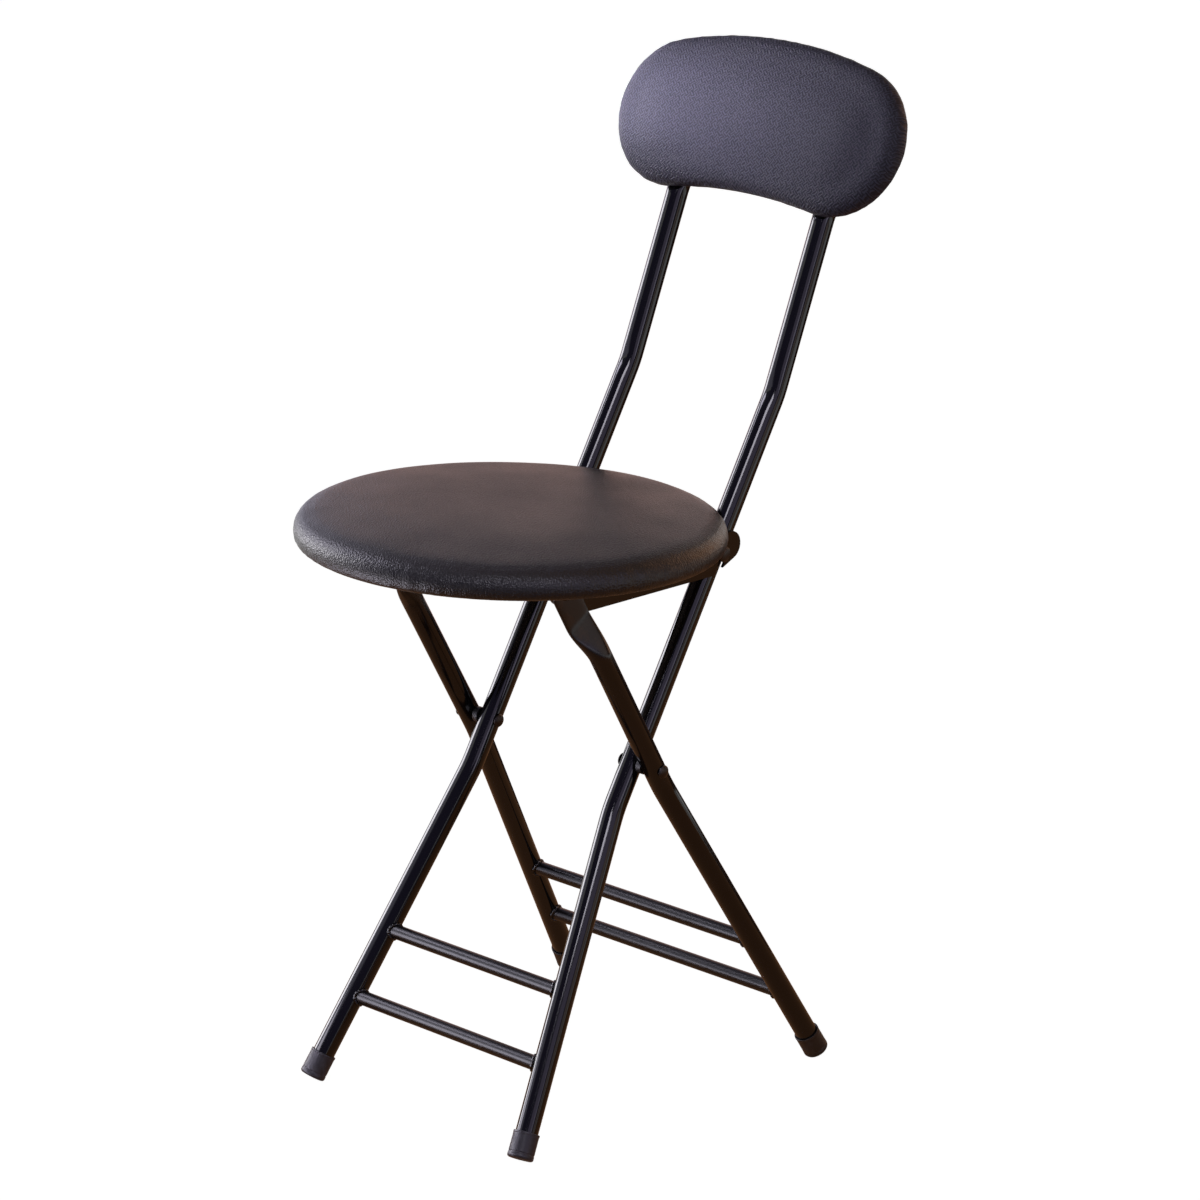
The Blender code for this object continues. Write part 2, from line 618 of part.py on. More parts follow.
def add_rail(name, side, material, parent, screw_holes):
    inner, outer = side * RAIL_INNER, side * RAIL_OUTER
    rail = bmesh.new()
    prism(rail, rail_outline(), inner, outer)
    tilt_seat(rail)
    rail = add_object(name, rail, material, parent)

    front, back = flange_ends()
    high = BOARD_BOTTOM - GAP
    low = high - RAIL_THICKNESS
    flange = bmesh.new()
    front, back = front - GAP, back + GAP
    section = [(front, low), (back, low), (back, high), (front, high)]
    prism(flange, section, outer, side * (RAIL_OUTER - RAIL_FLANGE))
    tilt_seat(flange)
    union = rail.modifiers.new("flange", "BOOLEAN")
    union.operation = "UNION"
    union.solver = "EXACT"
    union.object = add_object(name + "_flange", flange, parent=parent)

    holes = bmesh.new()
    near, far = inner - side * CUT_REACH, outer + side * CUT_REACH
    pivot = across(0, 0, PIVOT)
    rod(holes, pivot + near * X_AXIS, pivot + far * X_AXIS, RIVET_RADIUS + GAP, HOLE_SIDES)
    slot = STUD_RADIUS + GAP
    mouth = STUD - (RAIL_DEPTH + CUT_REACH) * BACK_UP
    square = Vector((0, BACK_UP.z, -BACK_UP.y)) * slot
    notch = arc((STUD.y, STUD.z), slot, -BACK_LEAN, 180 - BACK_LEAN, 10)
    notch += [((mouth - square).y, (mouth - square).z), ((mouth + square).y, (mouth + square).z)]
    prism(holes, notch, near, far)
    cut(rail, add_object(name + "_holes", holes, parent=parent))
    cut(rail, screw_holes)
    return rail


# Backrest, drawn as arcs in its own plane: u sideways, v up the tubes
def bean_outline(inset):
    """The outline pulled in by inset: two round ends, a long crown and a dipped lower edge."""
    lobe, dip, rise = BACKREST_LOBE, BACKREST_DIP, BACKREST_RISE
    end = BACKREST_END_RADIUS
    end_height = end - dip
    crown = (lobe**2 + 2 * end * rise + rise**2) / (2 * rise)
    hollow = (lobe**2 - 2 * end * dip + dip**2) / (2 * dip)
    crown_turn = math.atan2(lobe, end_height - BACKREST_HEIGHT + crown)
    hollow_turn = math.atan2(lobe, end_height + hollow)
    right = []
    for i in range(7):
        turn = crown_turn * i / 7
        right.append(((crown - inset) * math.sin(turn),
                      BACKREST_HEIGHT - crown + (crown - inset) * math.cos(turn)))
    for i in range(19):
        turn = crown_turn + (math.pi + hollow_turn - crown_turn) * i / 18
        right.append((lobe + (end - inset) * math.sin(turn),
                      end_height + (end - inset) * math.cos(turn)))
    for i in range(1, 6):
        turn = hollow_turn * (1 - i / 5)
        right.append(((hollow + inset) * math.sin(turn),
                      -hollow + (hollow + inset) * math.cos(turn)))
    left = [(-u, v) for u, v in right[-2:0:-1]]
    return right + left


def bean_ring(inset, depth):
    """The outline at a depth in front of the tubes' axes."""
    return [BACKREST_ORIGIN + u * X_AXIS + v * TOP_UP + depth * TOP_FRONT
            for u, v in bean_outline(inset)]


BACKREST_BOARD_BACK = BACKREST_BACK + LIP_THICKNESS + GAP
BACKREST_BOARD_FRONT = BACKREST_BOARD_BACK + BACKREST_BOARD_THICKNESS


def add_backrest_pad(name, material):
    lip = BACKREST_WRAP + LIP_WIDTH
    socket = BACKREST_WRAP - GAP
    lip_front = BACKREST_BACK + LIP_THICKNESS
    front = BACKREST_BACK + BACKREST_EDGE
    crown_end = BACKREST_END_RADIUS * 0.8
    rings = [bean_ring(socket, BACKREST_BOARD_FRONT + GAP), bean_ring(socket, lip_front)]
    rings += [bean_ring(lip, lip_front), bean_ring(lip, BACKREST_BACK)]
    for i in range(9):
        turn = math.pi * i / 8 - math.pi / 2
        rings.append(bean_ring(BACKREST_EDGE_DEPTH * (1 - math.cos(turn)),
                               BACKREST_BACK + BACKREST_EDGE / 2 * (1 + math.sin(turn))))
    for i in range(1, 5):
        step = i / 4
        inset = BACKREST_EDGE_DEPTH + (crown_end - BACKREST_EDGE_DEPTH) * step
        rings.append(bean_ring(inset, front + BACKREST_CROWN * math.sin(math.pi / 2 * step)))
    pad = bmesh.new()
    loft(pad, rings)
    return add_object(name, pad, material)


def add_backrest_board(name, material):
    board = bmesh.new()
    loft(board, [bean_ring(BACKREST_WRAP, BACKREST_BOARD_BACK),
                 bean_ring(BACKREST_WRAP, BACKREST_BOARD_FRONT)])
    board = add_object(name, board, material)
    holes = bmesh.new()
    for place in bolt_places().values():
        rod(holes, place + (BACKREST_BOARD_BACK - CUT_REACH) * TOP_FRONT,
            place + (BACKREST_BOARD_FRONT + CUT_REACH) * TOP_FRONT, BOLT_RADIUS + GAP, HOLE_SIDES)
    cut(board, add_object(name + "_holes", holes))
    return board


def bolt_places():
    places = {}
    for word, side in SIDES.items():
        for station, height in BOLT_HEIGHTS.items():
            middle = BACKREST_ORIGIN + height * TOP_UP
            places[word + "_" + station] = across(side, BACK_HALF_SPAN, middle)
    return places


def add_backrest_bolt(name, place, material):
    behind = TOP_FLAT / 2 + GAP
    length = behind + BACKREST_BOARD_BACK + BOLT_GRIP
    profile = [(r, -h) for r, h in dome(BOLT_HEAD_RADIUS, BOLT_HEAD_HEIGHT, 0)][::-1]
    profile += [(BOLT_RADIUS, 0), (BOLT_RADIUS, length), (0, length)]
    bolt = bmesh.new()
    spun(bolt, profile, place - behind * TOP_FRONT, TOP_FRONT, 12)
    return add_object(name, bolt, material)


# The stool
def build():
    clear_scene()
    paint = finish_material("black_paint", (0.012, 0.011, 0.014), 0.25, 0.0)
    leather = finish_material("dark_leather", (0.045, 0.04, 0.052), 0.5, 0.0)
    wood = finish_material("plywood", (0.5, 0.36, 0.22), 0.7, 0.0)
    rubber = finish_material("black_rubber", (0.018, 0.017, 0.02), 0.55, 0.0)
    steel = finish_material("dark_steel", (0.16, 0.155, 0.16), 0.35, 0.9)
    nylon = finish_material("black_nylon", (0.02, 0.02, 0.022), 0.45, 0.0)

    leg_axis = add_axis("leg_fold_axis", CROSSING)
    seat_axis = add_axis("seat_hinge_axis", PIVOT)
    rivet_head = (RIVET_HEAD_RADIUS, RIVET_HEAD_HEIGHT)

    for word, side in SIDES.items():
        add_back_tube("back_tube_" + word, side, paint)
        add_foot("front_foot_" + word, *mirrored_foot(BACK_BEND, BACK_GROUND, side), rubber)
        add_headed_pin("cross_rivet_" + word, side, CROSSING,
                       BACK_HALF_SPAN - TUBE_RADIUS - GAP, REAR_HALF_SPAN + TUBE_RADIUS + GAP,
                       RIVET_RADIUS, (rivet_head, rivet_head), steel)
        add_ring("cross_spacer_" + word, side, CROSSING,
                 BACK_HALF_SPAN + TUBE_RADIUS + GAP, LEG_INNER - GAP,
                 SPACER_RADIUS, RIVET_RADIUS + GAP, nylon)
        add_headed_pin("hook_stud_" + word, side, STUD,
                       BACK_HALF_SPAN - TUBE_RADIUS - GAP, RAIL_OUTER + RUN_GAP, STUD_RADIUS,
                       (rivet_head, (STUD_HEAD_RADIUS, STUD_HEAD_HEIGHT)), steel)

        add_rear_leg("rear_leg_" + word, side, paint, leg_axis)
        add_foot("rear_foot_" + word, *mirrored_foot(REAR_BEND, REAR_GROUND, side), rubber,
                 leg_axis)
        add_headed_pin("seat_pivot_" + word, side, PIVOT, RAIL_INNER - GAP,
                       LEG_INNER + FLAT_THICKNESS + GAP, RIVET_RADIUS,
                       (rivet_head, rivet_head), steel, leg_axis)
        add_ring("pivot_washer_" + word, side, PIVOT, RAIL_OUTER + GAP, LEG_INNER - GAP,
                 WASHER_RADIUS, RIVET_RADIUS + GAP, nylon, leg_axis)

    front_clearance = leg_clearance("front_leg_clearance", BACK_BEND, BACK_GROUND)
    rear_clearance = leg_clearance("rear_leg_clearance", REAR_BEND, REAR_GROUND, leg_axis)
    for word, reach in FRONT_BAR_REACH.items():
        add_bar("front_bar_" + word, reach * BACK_UP.z, BACK_BEND, BACK_GROUND,
                front_clearance, paint)
    for word, reach in REAR_BAR_REACH.items():
        add_bar("rear_bar_" + word, reach * REAR_UP.z, REAR_BEND, REAR_GROUND,
                rear_clearance, paint, leg_axis)

    add_backrest_board("backrest_board", wood)
    add_backrest_pad("backrest_pad", leather)
    for word, place in bolt_places().items():
        add_backrest_bolt("backrest_bolt_" + word, place, steel)

    screw_holes = screw_cutter("screw_holes", seat_axis)
    add_seat_board("seat_board", wood, seat_axis, screw_holes)
    add_seat_pad("seat_pad", leather, seat_axis)
    for word, side in SIDES.items():
        add_rail("seat_rail_" + word, side, paint, seat_axis, screw_holes)
    for word, place in screw_places().items():
        add_rail_screw("rail_screw_" + word, place, steel, seat_axis)


def mirrored_foot(bend, ground, side):
    end, down = foot_end(bend, ground)
    return mirrored(end, side), mirrored(down, side)


build()
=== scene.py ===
import json
import math

import bmesh
import bpy
import numpy as np
from mathutils import Matrix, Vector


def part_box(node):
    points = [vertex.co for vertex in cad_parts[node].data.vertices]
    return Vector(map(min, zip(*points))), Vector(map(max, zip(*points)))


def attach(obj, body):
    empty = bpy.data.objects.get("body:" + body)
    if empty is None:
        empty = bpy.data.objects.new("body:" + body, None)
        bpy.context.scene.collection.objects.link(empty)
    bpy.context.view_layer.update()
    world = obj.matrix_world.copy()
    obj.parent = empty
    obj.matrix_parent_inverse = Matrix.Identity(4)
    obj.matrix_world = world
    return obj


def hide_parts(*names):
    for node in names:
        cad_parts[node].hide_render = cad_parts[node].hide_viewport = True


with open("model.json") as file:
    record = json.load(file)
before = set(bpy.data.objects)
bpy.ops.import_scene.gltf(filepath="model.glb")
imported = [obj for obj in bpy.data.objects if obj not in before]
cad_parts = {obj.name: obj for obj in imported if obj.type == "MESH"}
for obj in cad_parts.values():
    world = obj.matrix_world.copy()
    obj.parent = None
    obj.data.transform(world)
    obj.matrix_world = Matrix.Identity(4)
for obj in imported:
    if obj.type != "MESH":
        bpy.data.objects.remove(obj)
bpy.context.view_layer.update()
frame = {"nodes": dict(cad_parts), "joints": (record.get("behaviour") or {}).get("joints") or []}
print("frame loaded,", len(frame["nodes"]), "solids")

# the stool's sizes, the same as in the solids: metres and degrees
stool = {
    "gap": 0.0003,
    "slideGap": 0.0004,
    "tubeRadius": 0.0085,
    "tubeWall": 0.0012,
    "barRadius": 0.0056,
    "backLean": 30.8,
    "rearLean": 31.2,
    "topLean": 22.1,
    "backSpan": 0.0727,         # half the distance between the back tubes
    "backFootSpan": 0.1095,
    "rearFootSpan": 0.1313,
    "crossGap": 0.0055,
    "backFlareDrop": 0.0384,
    "rearFlareDrop": 0.0174,
    "upperReach": 0.2969,
    "pivotReach": 0.18,
    "backrestReach": 0.1415,
    "tubeTop": 0.2272,          # from the upper bend to the open tube end
    "seatTilt": 0.85,           # down towards the back
    "lipWidth": 0.014,
    "lipThickness": 0.0012,
}
sides = (("Left", 1), ("Right", -1))
gap, tubeRadius, backSpan = (stool[key] for key in ("gap", "tubeRadius", "backSpan"))


def lean(degrees):  # unit vector leaning back from upright in the side view
    angle = math.radians(degrees)
    return np.array([0.0, math.sin(angle), math.cos(angle)])


def jointPlace(name):
    return np.array(next(joint["pos_m"] for joint in frame["joints"] if joint["name"] == name))


def across(side, halfSpan, place):
    return np.array([side * halfSpan, place[1], place[2]])


def unit(vectors):
    return vectors / np.linalg.norm(vectors, axis=-1, keepdims=True)


def fullTurn(count):
    return np.linspace(0, 2 * np.pi, count, endpoint=False)


def eased(share):  # slow at both ends
    share = np.clip(share, 0, 1)
    return share * share * (3 - 2 * share)


xAxis, zAxis = np.array([1.0, 0.0, 0.0]), np.array([0.0, 0.0, 1.0])
cross = jointPlace("leg_fold")
pivot = jointPlace("seat_hinge")
backUp, rearUp, topUp = lean(stool["backLean"]), lean(-stool["rearLean"]), lean(stool["topLean"])
topFront = np.array([0.0, -topUp[2], topUp[1]])
rearSpan = backSpan + 2 * tubeRadius + stool["crossGap"]
upperBend = cross + stool["upperReach"] * backUp
backrestOrigin = upperBend + stool["backrestReach"] * topUp
foldAngle = math.radians(stool["backLean"] + stool["rearLean"])
studPlace = cross + 2 * stool["pivotReach"] * math.cos(foldAngle) * backUp
seatTilt = math.radians(stool["seatTilt"])
seatUp = np.array([0.0, math.sin(seatTilt), math.cos(seatTilt)])
seatBack = np.array([0.0, math.cos(seatTilt), -math.sin(seatTilt)])


def tipSeat(points):  # from the seat drawn level to the seat tilted about its pivot
    flat = points - pivot
    return pivot + flat[..., :1] * xAxis + flat[..., 1:2] * seatBack + flat[..., 2:] * seatUp


def levelSeat(points):
    flat = points - pivot
    return pivot + np.stack([flat @ xAxis, flat @ seatBack, flat @ seatUp], -1)


# camera at the photo's angle: the view is 1200 pixels square
photoView = {"azimuth": 42.15, "elevation": 16.94, "roll": 0.0179, "lens": 130.54, "sensor": 36,
             "place": (2.1014, -2.2796 + cross[1], 1.3179), "nearest": 0.05, "farthest": 60}


def standAt(thing, right, up, back, place):  # axes and place are the columns of a matrix
    bpy.context.scene.collection.objects.link(thing)
    axes = np.column_stack([right, up, back, place])
    thing.matrix_world = Matrix(np.vstack([axes, [0, 0, 0, 1]]).tolist())


def addCamera():
    azimuth, elevation = math.radians(photoView["azimuth"]), math.radians(photoView["elevation"])
    back = np.array([math.sin(azimuth) * math.cos(elevation),
                     -math.cos(azimuth) * math.cos(elevation), math.sin(elevation)])
    right = np.array([math.cos(azimuth), math.sin(azimuth), 0.0])
    up = np.cross(back, right)
    roll = photoView["roll"]
    turnedRight = right * math.cos(roll) + up * math.sin(roll)
    turnedUp = up * math.cos(roll) - right * math.sin(roll)
    data = bpy.data.cameras.new("photoCamera")
    data.sensor_width, data.lens = photoView["sensor"], photoView["lens"]
    data.clip_start, data.clip_end = photoView["nearest"], photoView["farthest"]
    camera = bpy.data.objects.new("photoCamera", data)
    standAt(camera, turnedRight, turnedUp, back, photoView["place"])
    bpy.context.scene.camera = camera
    return right, np.array([back[0], back[1], 0.0]) / math.cos(elevation)


viewRight, viewNear = addCamera()
print("camera placed")


# shader maths: a socket whose operators add Math nodes
class Wire:
    def __init__(self, tree, socket):
        self.tree, self.socket = tree, socket

    def maths(self, operation, *values):
        node = self.tree.nodes.new("ShaderNodeMath")
        node.operation = operation
        for place, value in zip(node.inputs, values):
            join(self.tree, place, value)
        return Wire(self.tree, node.outputs[0])

    def __add__(self, other):
        return self.maths("ADD", self, other)

    def __radd__(self, other):
        return self.maths("ADD", other, self)

    def __sub__(self, other):
        return self.maths("SUBTRACT", self, other)

    def __rsub__(self, other):
        return self.maths("SUBTRACT", other, self)

    def __mul__(self, other):
        return self.maths("MULTIPLY", self, other)

    def __rmul__(self, other):
        return self.maths("MULTIPLY", other, self)


def join(tree, place, value):  # a link for a wire, a plain value for anything else
    if isinstance(value, Wire):
        tree.links.new(value.socket, place)
    else:
        place.default_value = value


class Finish:
    def __init__(self, name):
        self.material = bpy.data.materials.new(name)
        self.material.use_nodes = True
        self.tree = self.material.node_tree
        self.shader = self.tree.nodes["Principled BSDF"]

    def node(self, kind, settings=None, sockets=None, output=0):
        made = self.tree.nodes.new("ShaderNode" + kind)
        for key, value in (settings or {}).items():
            setattr(made, key, value)
        for key, value in (sockets or {}).items():
            join(self.tree, made.inputs[key], value)
        return Wire(self.tree, made.outputs[output])

    def place(self, turn=(0, 0, 0), stretch=(1, 1, 1)):
        coords = self.node("TexCoord", output="Object")
        return self.node("Mapping", sockets={"Vector": coords, "Rotation": turn, "Scale": stretch})

    def noise(self, scale, detail=2.0, coords=None):
        sockets = {"Scale": scale, "Detail": detail, "Vector": coords or self.place()}
        return self.node("TexNoise", sockets=sockets)

    def ramp(self, value, low, high):  # 0 below low, 1 above high
        return self.node("MapRange", {"interpolation_type": "SMOOTHSTEP"},
                         {"Value": value, "From Min": low, "From Max": high})

    def blend(self, factor, first, second):
        made = self.tree.nodes.new("ShaderNodeMix")
        made.data_type = "RGBA"
        join(self.tree, made.inputs["Factor"], factor)
        for place, colour in (("A", first), ("B", second)):
            sockets = [socket for socket in made.inputs if socket.name == place]
            join(self.tree, sockets[2], colour if isinstance(colour, Wire) else (*colour, 1))
        return Wire(self.tree, [socket for socket in made.outputs if socket.name == "Result"][2])

    def bump(self, height, distance, strength=1.0):
        return self.node("Bump", sockets={"Height": height, "Distance": distance,
                                          "Strength": strength})

    def set(self, **values):
        for key, value in values.items():
            name = "".join(" " + c if c.isupper() else c for c in key).strip().title()
            join(self.tree, self.shader.inputs[name.replace("Ior", "IOR")], value)


# finishes: colours are linear, scales are cells to the metre
# the reddish third paint colour is a painted warm reflection on the pressed leg tops
paintLook = {"violet": (0.0055, 0.005, 0.0085), "brown": (0.0095, 0.007, 0.007),
             "rust": (0.05, 0.02, 0.009), "tubeRoughness": 0.09, "barRoughness": 0.3}


def paintFinish(name, roughness):  # black paint: slight orange peel, slow drift from violet to brown, and reddish patches on the pressed leg tops painted in for a warm reflection
    paint = Finish(name)
    drift = paint.noise(9.0, 3.0)
    peel = paint.noise(140.0, 1.0)
    colour = paint.blend(drift, paintLook["violet"], paintLook["brown"])
    dulledWithGlint = paint.node("Attribute", {"attribute_name": "dulledWithGlint"}, output="Fac")  # pressed leg tops: duller paint and a painted warm reflection
    # reddish patches on the pressed tops: a painted warm reflection
    rust = paint.ramp(paint.noise(110.0, 3.0), 0.5, 0.64) * dulledWithGlint
    colour = paint.blend(rust * 0.7, colour, paintLook["rust"])
    paint.set(baseColor=colour, roughness=roughness * (0.75 + 0.5 * drift) + 0.2 * dulledWithGlint,
              normal=paint.bump(peel, 0.0003, 0.008), specularIorLevel=0.5)
    return paint.material


topTurn = math.radians(stool["topLean"])
leather = {"cells": 760.0, "squares": 270.0, "threads": 150.0, "slant": 0.8, "glint": 2.6}
seatLook = {"dark": (0.014, 0.0105, 0.011), "light": (0.021, 0.0165, 0.017), "roughness": 0.36,
            "turn": (0, 0, 0.3), "weave": 0.2, "relief": 0.75, "sheen": 0.5}
backrestLook = {"dark": (0.038, 0.036, 0.058), "light": (0.056, 0.052, 0.081), "roughness": 0.5,
                "turn": (topTurn - math.pi / 2, 0, 0), "weave": 0.75, "relief": 0.85, "sheen": 0.28}


def leatherFinish(name, look):
    # leathercloth: pebble cells, the weave of its backing, slow drift of tone, and a painted highlight on
    # the raised threads
    cover = Finish(name)
    coords = cover.place(look["turn"])
    cells = cover.node("TexVoronoi", sockets={"Scale": leather["cells"], "Vector": coords})
    drift = cover.noise(14.0, 4.0, coords)
    warp = cover.noise(60.0, 2.0, coords)
    # basket weave: squares whose threads run one way or the other by turns
    slanted = cover.node("Mapping", sockets={"Vector": coords, "Rotation": (0, 0, leather["slant"]),
                                             "Scale": (1, 1, 0)})
    squares = cover.node("TexChecker", sockets={"Scale": leather["squares"], "Vector": slanted},
                         output="Fac")
    threads = [cover.node("TexWave", {"wave_type": "BANDS", "bands_direction": way},
                          {"Scale": leather["threads"], "Distortion": 3.6, "Detail": 1.0,
                           "Detail Scale": 2.0, "Vector": slanted}) for way in "XY"]
    weave = threads[0] * squares + threads[1] * (1 - squares)
    share = look["weave"]
    height = cells * (1 - share) + weave * share
    tone = cover.ramp(drift * 0.7 + warp * 0.3, 0.3, 0.72)
    colour = cover.blend(tone, look["dark"], look["light"])
    glint = cover.ramp(weave, 0.45, 0.85) * (0.15 + 0.6 * share)  # the threads' raised backs are painted paler: a painted highlight
    colour = cover.blend(glint, colour, tuple(min(1, leather["glint"] * part) for part in look["light"]))
    cover.set(baseColor=colour, roughness=look["roughness"] + 0.1 * tone - 0.08 * warp,
              normal=cover.bump(height, 0.0005, look["relief"]), specularIorLevel=look["sheen"])
    return cover.material


# the front caps are painted lighter and lavender for the light they catch, the rear caps painted brown for
# a warm reflection: lit and shaded copies of one rubber
rubberLook = {"front": {"plain": (0.1, 0.09, 0.115), "scuffed": (0.19, 0.175, 0.215)},
              "rear": {"plain": (0.052, 0.036, 0.028), "scuffed": (0.11, 0.08, 0.065)},
              "dust": (0.13, 0.11, 0.11), "dustHeight": 0.012}


def rubberFinish(pair):  # moulded foot caps with scuffs, and floor dust low down; the front and rear copies differ by painted light
    rubber = Finish(pair + "RubberPaintedLight")
    streaked = rubber.place((0.4, 0.2, 0.1), (1, 1, 0.35))
    scuff = rubber.ramp(rubber.noise(180.0, 4.0, streaked), 0.52, 0.75)
    grain = rubber.noise(1500.0, 2.0)
    height = rubber.node("SeparateXYZ", sockets={"Vector": rubber.place()}, output="Z")
    worn = (1 - rubber.ramp(height, 0.0, rubberLook["dustHeight"])) * scuff
    colour = rubber.blend(scuff * 0.5, rubberLook[pair]["plain"], rubberLook[pair]["scuffed"])
    colour = rubber.blend(worn * 0.6, colour, rubberLook["dust"])
    rubber.set(baseColor=colour, roughness=0.42 + 0.2 * scuff,
               normal=rubber.bump(grain, 0.0003, 0.12), specularIorLevel=0.4)
    return rubber.material


def steelFinish():  # dark plated rivets and screws with fine turning marks
    steel = Finish("platedSteel")
    marks = steel.noise(900.0, 3.0)
    stain = steel.noise(60.0, 3.0)
    colour = steel.blend(stain, (0.02, 0.018, 0.018), (0.085, 0.074, 0.066))
    steel.set(baseColor=colour, roughness=0.24 + 0.22 * marks, metallic=0.85,
              normal=steel.bump(marks, 0.0002, 0.12))
    return steel.material


def nylonFinish():  # black washers and spacers
    nylon = Finish("blackNylon")
    grain = nylon.noise(1400.0, 2.0)
    drift = nylon.noise(80.0, 2.0)
    nylon.set(baseColor=nylon.blend(drift, (0.012, 0.011, 0.012), (0.024, 0.022, 0.024)),
              roughness=0.38 + 0.15 * drift, normal=nylon.bump(grain, 0.0002, 0.1))
    return nylon.material


plywood = {"dark": (0.36, 0.23, 0.125), "light": (0.56, 0.41, 0.26), "pores": (0.2, 0.12, 0.06),
           "stretch": (1.0, 0.07, 1.0)}


def boardFinish(name, turn):  # plywood: long streaks, pores and darker growth bands
    board = Finish(name)
    coords = board.place(turn, plywood["stretch"])
    streak = board.noise(150.0, 6.0, coords)
    bands = board.node("TexWave", {"wave_type": "BANDS", "bands_direction": "X"},
                       {"Scale": 22.0, "Distortion": 1.8, "Detail": 2.0, "Detail Scale": 1.2,
                        "Vector": coords})
    pores = board.ramp(board.noise(700.0, 2.0, coords), 0.6, 0.75)
    colour = board.blend(bands * 0.2 + streak * 0.8, plywood["dark"], plywood["light"])
    colour = board.blend(pores * 0.5, colour, plywood["pores"])
    board.set(baseColor=colour, roughness=0.62 + 0.2 * streak,
              normal=board.bump(streak - pores * 0.5, 0.0004, 0.25))
    return board.material


paint = paintFinish("blackPaint", paintLook["tubeRoughness"])
barPaint = paintFinish("barPaint", paintLook["barRoughness"])
# front and rear caps get lit and shaded copies of one rubber: painted light
rubber = {"main_frame": rubberFinish("front"), "rear_legs": rubberFinish("rear")}
steel, nylon = steelFinish(), nylonFinish()
seatLeather = leatherFinish("seatLeather", seatLook)
backLeather = leatherFinish("backrestLeather", backrestLook)
seatPly = boardFinish("seatPlywood", (0, 0, 0.02))
backPly = boardFinish("backrestPlywood", (topTurn - math.pi / 2, 0, math.pi / 2))
print("finishes made")


# meshes: a grid of rows, each row a closed ring
def closedMesh(name, points, faces):  # doubles merged, faces turned outwards
    mesh = bpy.data.meshes.new(name)
    mesh.from_pydata(points.reshape(-1, 3), [], faces)
    made = bmesh.new()
    made.from_mesh(mesh)
    bmesh.ops.remove_doubles(made, verts=made.verts, dist=2e-6)
    bmesh.ops.recalc_face_normals(made, faces=made.faces)
    made.to_mesh(mesh)
    made.free()
    return mesh


def gridFaces(rows, loop=False):
    # quads join ring i to ring i + 1; rings of one repeated point close as poles
    index = np.arange(rows[..., 0].size).reshape(rows.shape[:2])
    if loop:
        index = np.vstack([index, index[:1]])
    beside = np.roll(index, -1, axis=1)
    return np.stack([index[:-1], beside[:-1], beside[1:], index[1:]], -1).reshape(-1, 4).tolist()


def plainObject(name, mesh):
    piece = bpy.data.objects.new(name, mesh)
    bpy.context.scene.collection.objects.link(piece)
    return piece


def dress(piece, material, body, replaced=(), sharp=40):
    piece.data.shade_smooth()
    piece.data.set_sharp_from_angle(angle=math.radians(sharp))
    piece.data.materials.clear()
    piece.data.materials.append(material)
    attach(piece, body)
    if replaced:
        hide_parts(*replaced)
    return piece


def skin(name, rows, material, body, replaced=(), loop=False):
    piece = plainObject(name, closedMesh(name, rows, gridFaces(rows, loop)))
    return dress(piece, material, body, replaced)


def meshPoints(piece):
    points = np.empty(len(piece.data.vertices) * 3, np.float32)
    piece.data.vertices.foreach_get("co", points)
    return points.reshape(-1, 3).astype(float)


def roundedPath(corners, radii, steps=24):
    # straight runs joined by arcs: arc point = centre + radius * (sin t along, -cos t inward)
    points = [corners[0][None]]
    for before, corner, after, radius in zip(corners, corners[1:], corners[2:], radii):
        arrive, leave = unit(corner - before), unit(after - corner)
        bend = math.acos(np.clip(arrive @ leave, -1, 1))
        inward = unit(leave - (leave @ arrive) * arrive)
        begin = corner - radius * math.tan(bend / 2) * arrive
        turn = np.linspace(0, bend, steps)[:, None]
        points.append(begin + radius * (np.sin(turn) * arrive + (1 - np.cos(turn)) * inward))
    points.append(corners[-1][None])
    return np.vstack(points)


class Path:  # a line that can be asked for its place and direction at any length along it
    def __init__(self, points):
        steps = np.linalg.norm(np.diff(points, axis=0), axis=1)
        self.length = steps.sum()
        self.reach = np.concatenate([[0], np.cumsum(steps)])
        self.points = points

    def at(self, s):
        return np.stack([np.interp(s, self.reach, self.points[:, i]) for i in range(3)], -1)

    def along(self, s, step=0.002):
        ahead = self.at(np.clip(s + step, 0, self.length))
        behind = self.at(np.clip(s - step, 0, self.length))
        return unit(ahead - behind)


def squarish(turn, power):  # cosine and sine of a rounded square
    return [np.sign(wave) * np.abs(wave) ** (2 / power) for wave in (np.cos(turn), np.sin(turn))]


def sweep(path, s, wide, thick=None, power=2.0, shift=0.0, dent=None, around=48):
    # ring point = place + (shift + thick * cos) * sideways + wide * sin * deep, where cos and
    # sin are raised to 2 / power, so that a larger power presses the round towards a flat
    thick = wide if thick is None else thick
    wide, thick, power, shift = (np.broadcast_to(v, s.shape)[:, None] for v in
                                 (wide, thick, power, shift))
    place, along = path.at(s), path.along(s)
    sideways = unit(xAxis - (along @ xAxis)[:, None] * along)
    deep = np.cross(along, sideways)
    turn = fullTurn(around)[None]
    squash = squarish(turn, power)
    scale = 1.0 if dent is None else 1 - dent(s[:, None], turn)
    out = (shift + thick * scale * squash[0])[..., None] * sideways[:, None]
    return place[:, None] + out + (wide * scale * squash[1])[..., None] * deep[:, None]


def turned(profile, start, axis, around=48):
    # surface of revolution: start + height * axis + radius * (cos a + sin b)
    axis = unit(np.asarray(axis, float))
    first = unit(np.cross(axis, [0.31, 0.87, 0.39]))
    second = np.cross(axis, first)
    turn = fullTurn(around)[None, :, None]
    radius, height = np.asarray(profile, float).T[:, :, None, None]
    return start + height * axis + radius * (np.cos(turn) * first + np.sin(turn) * second)


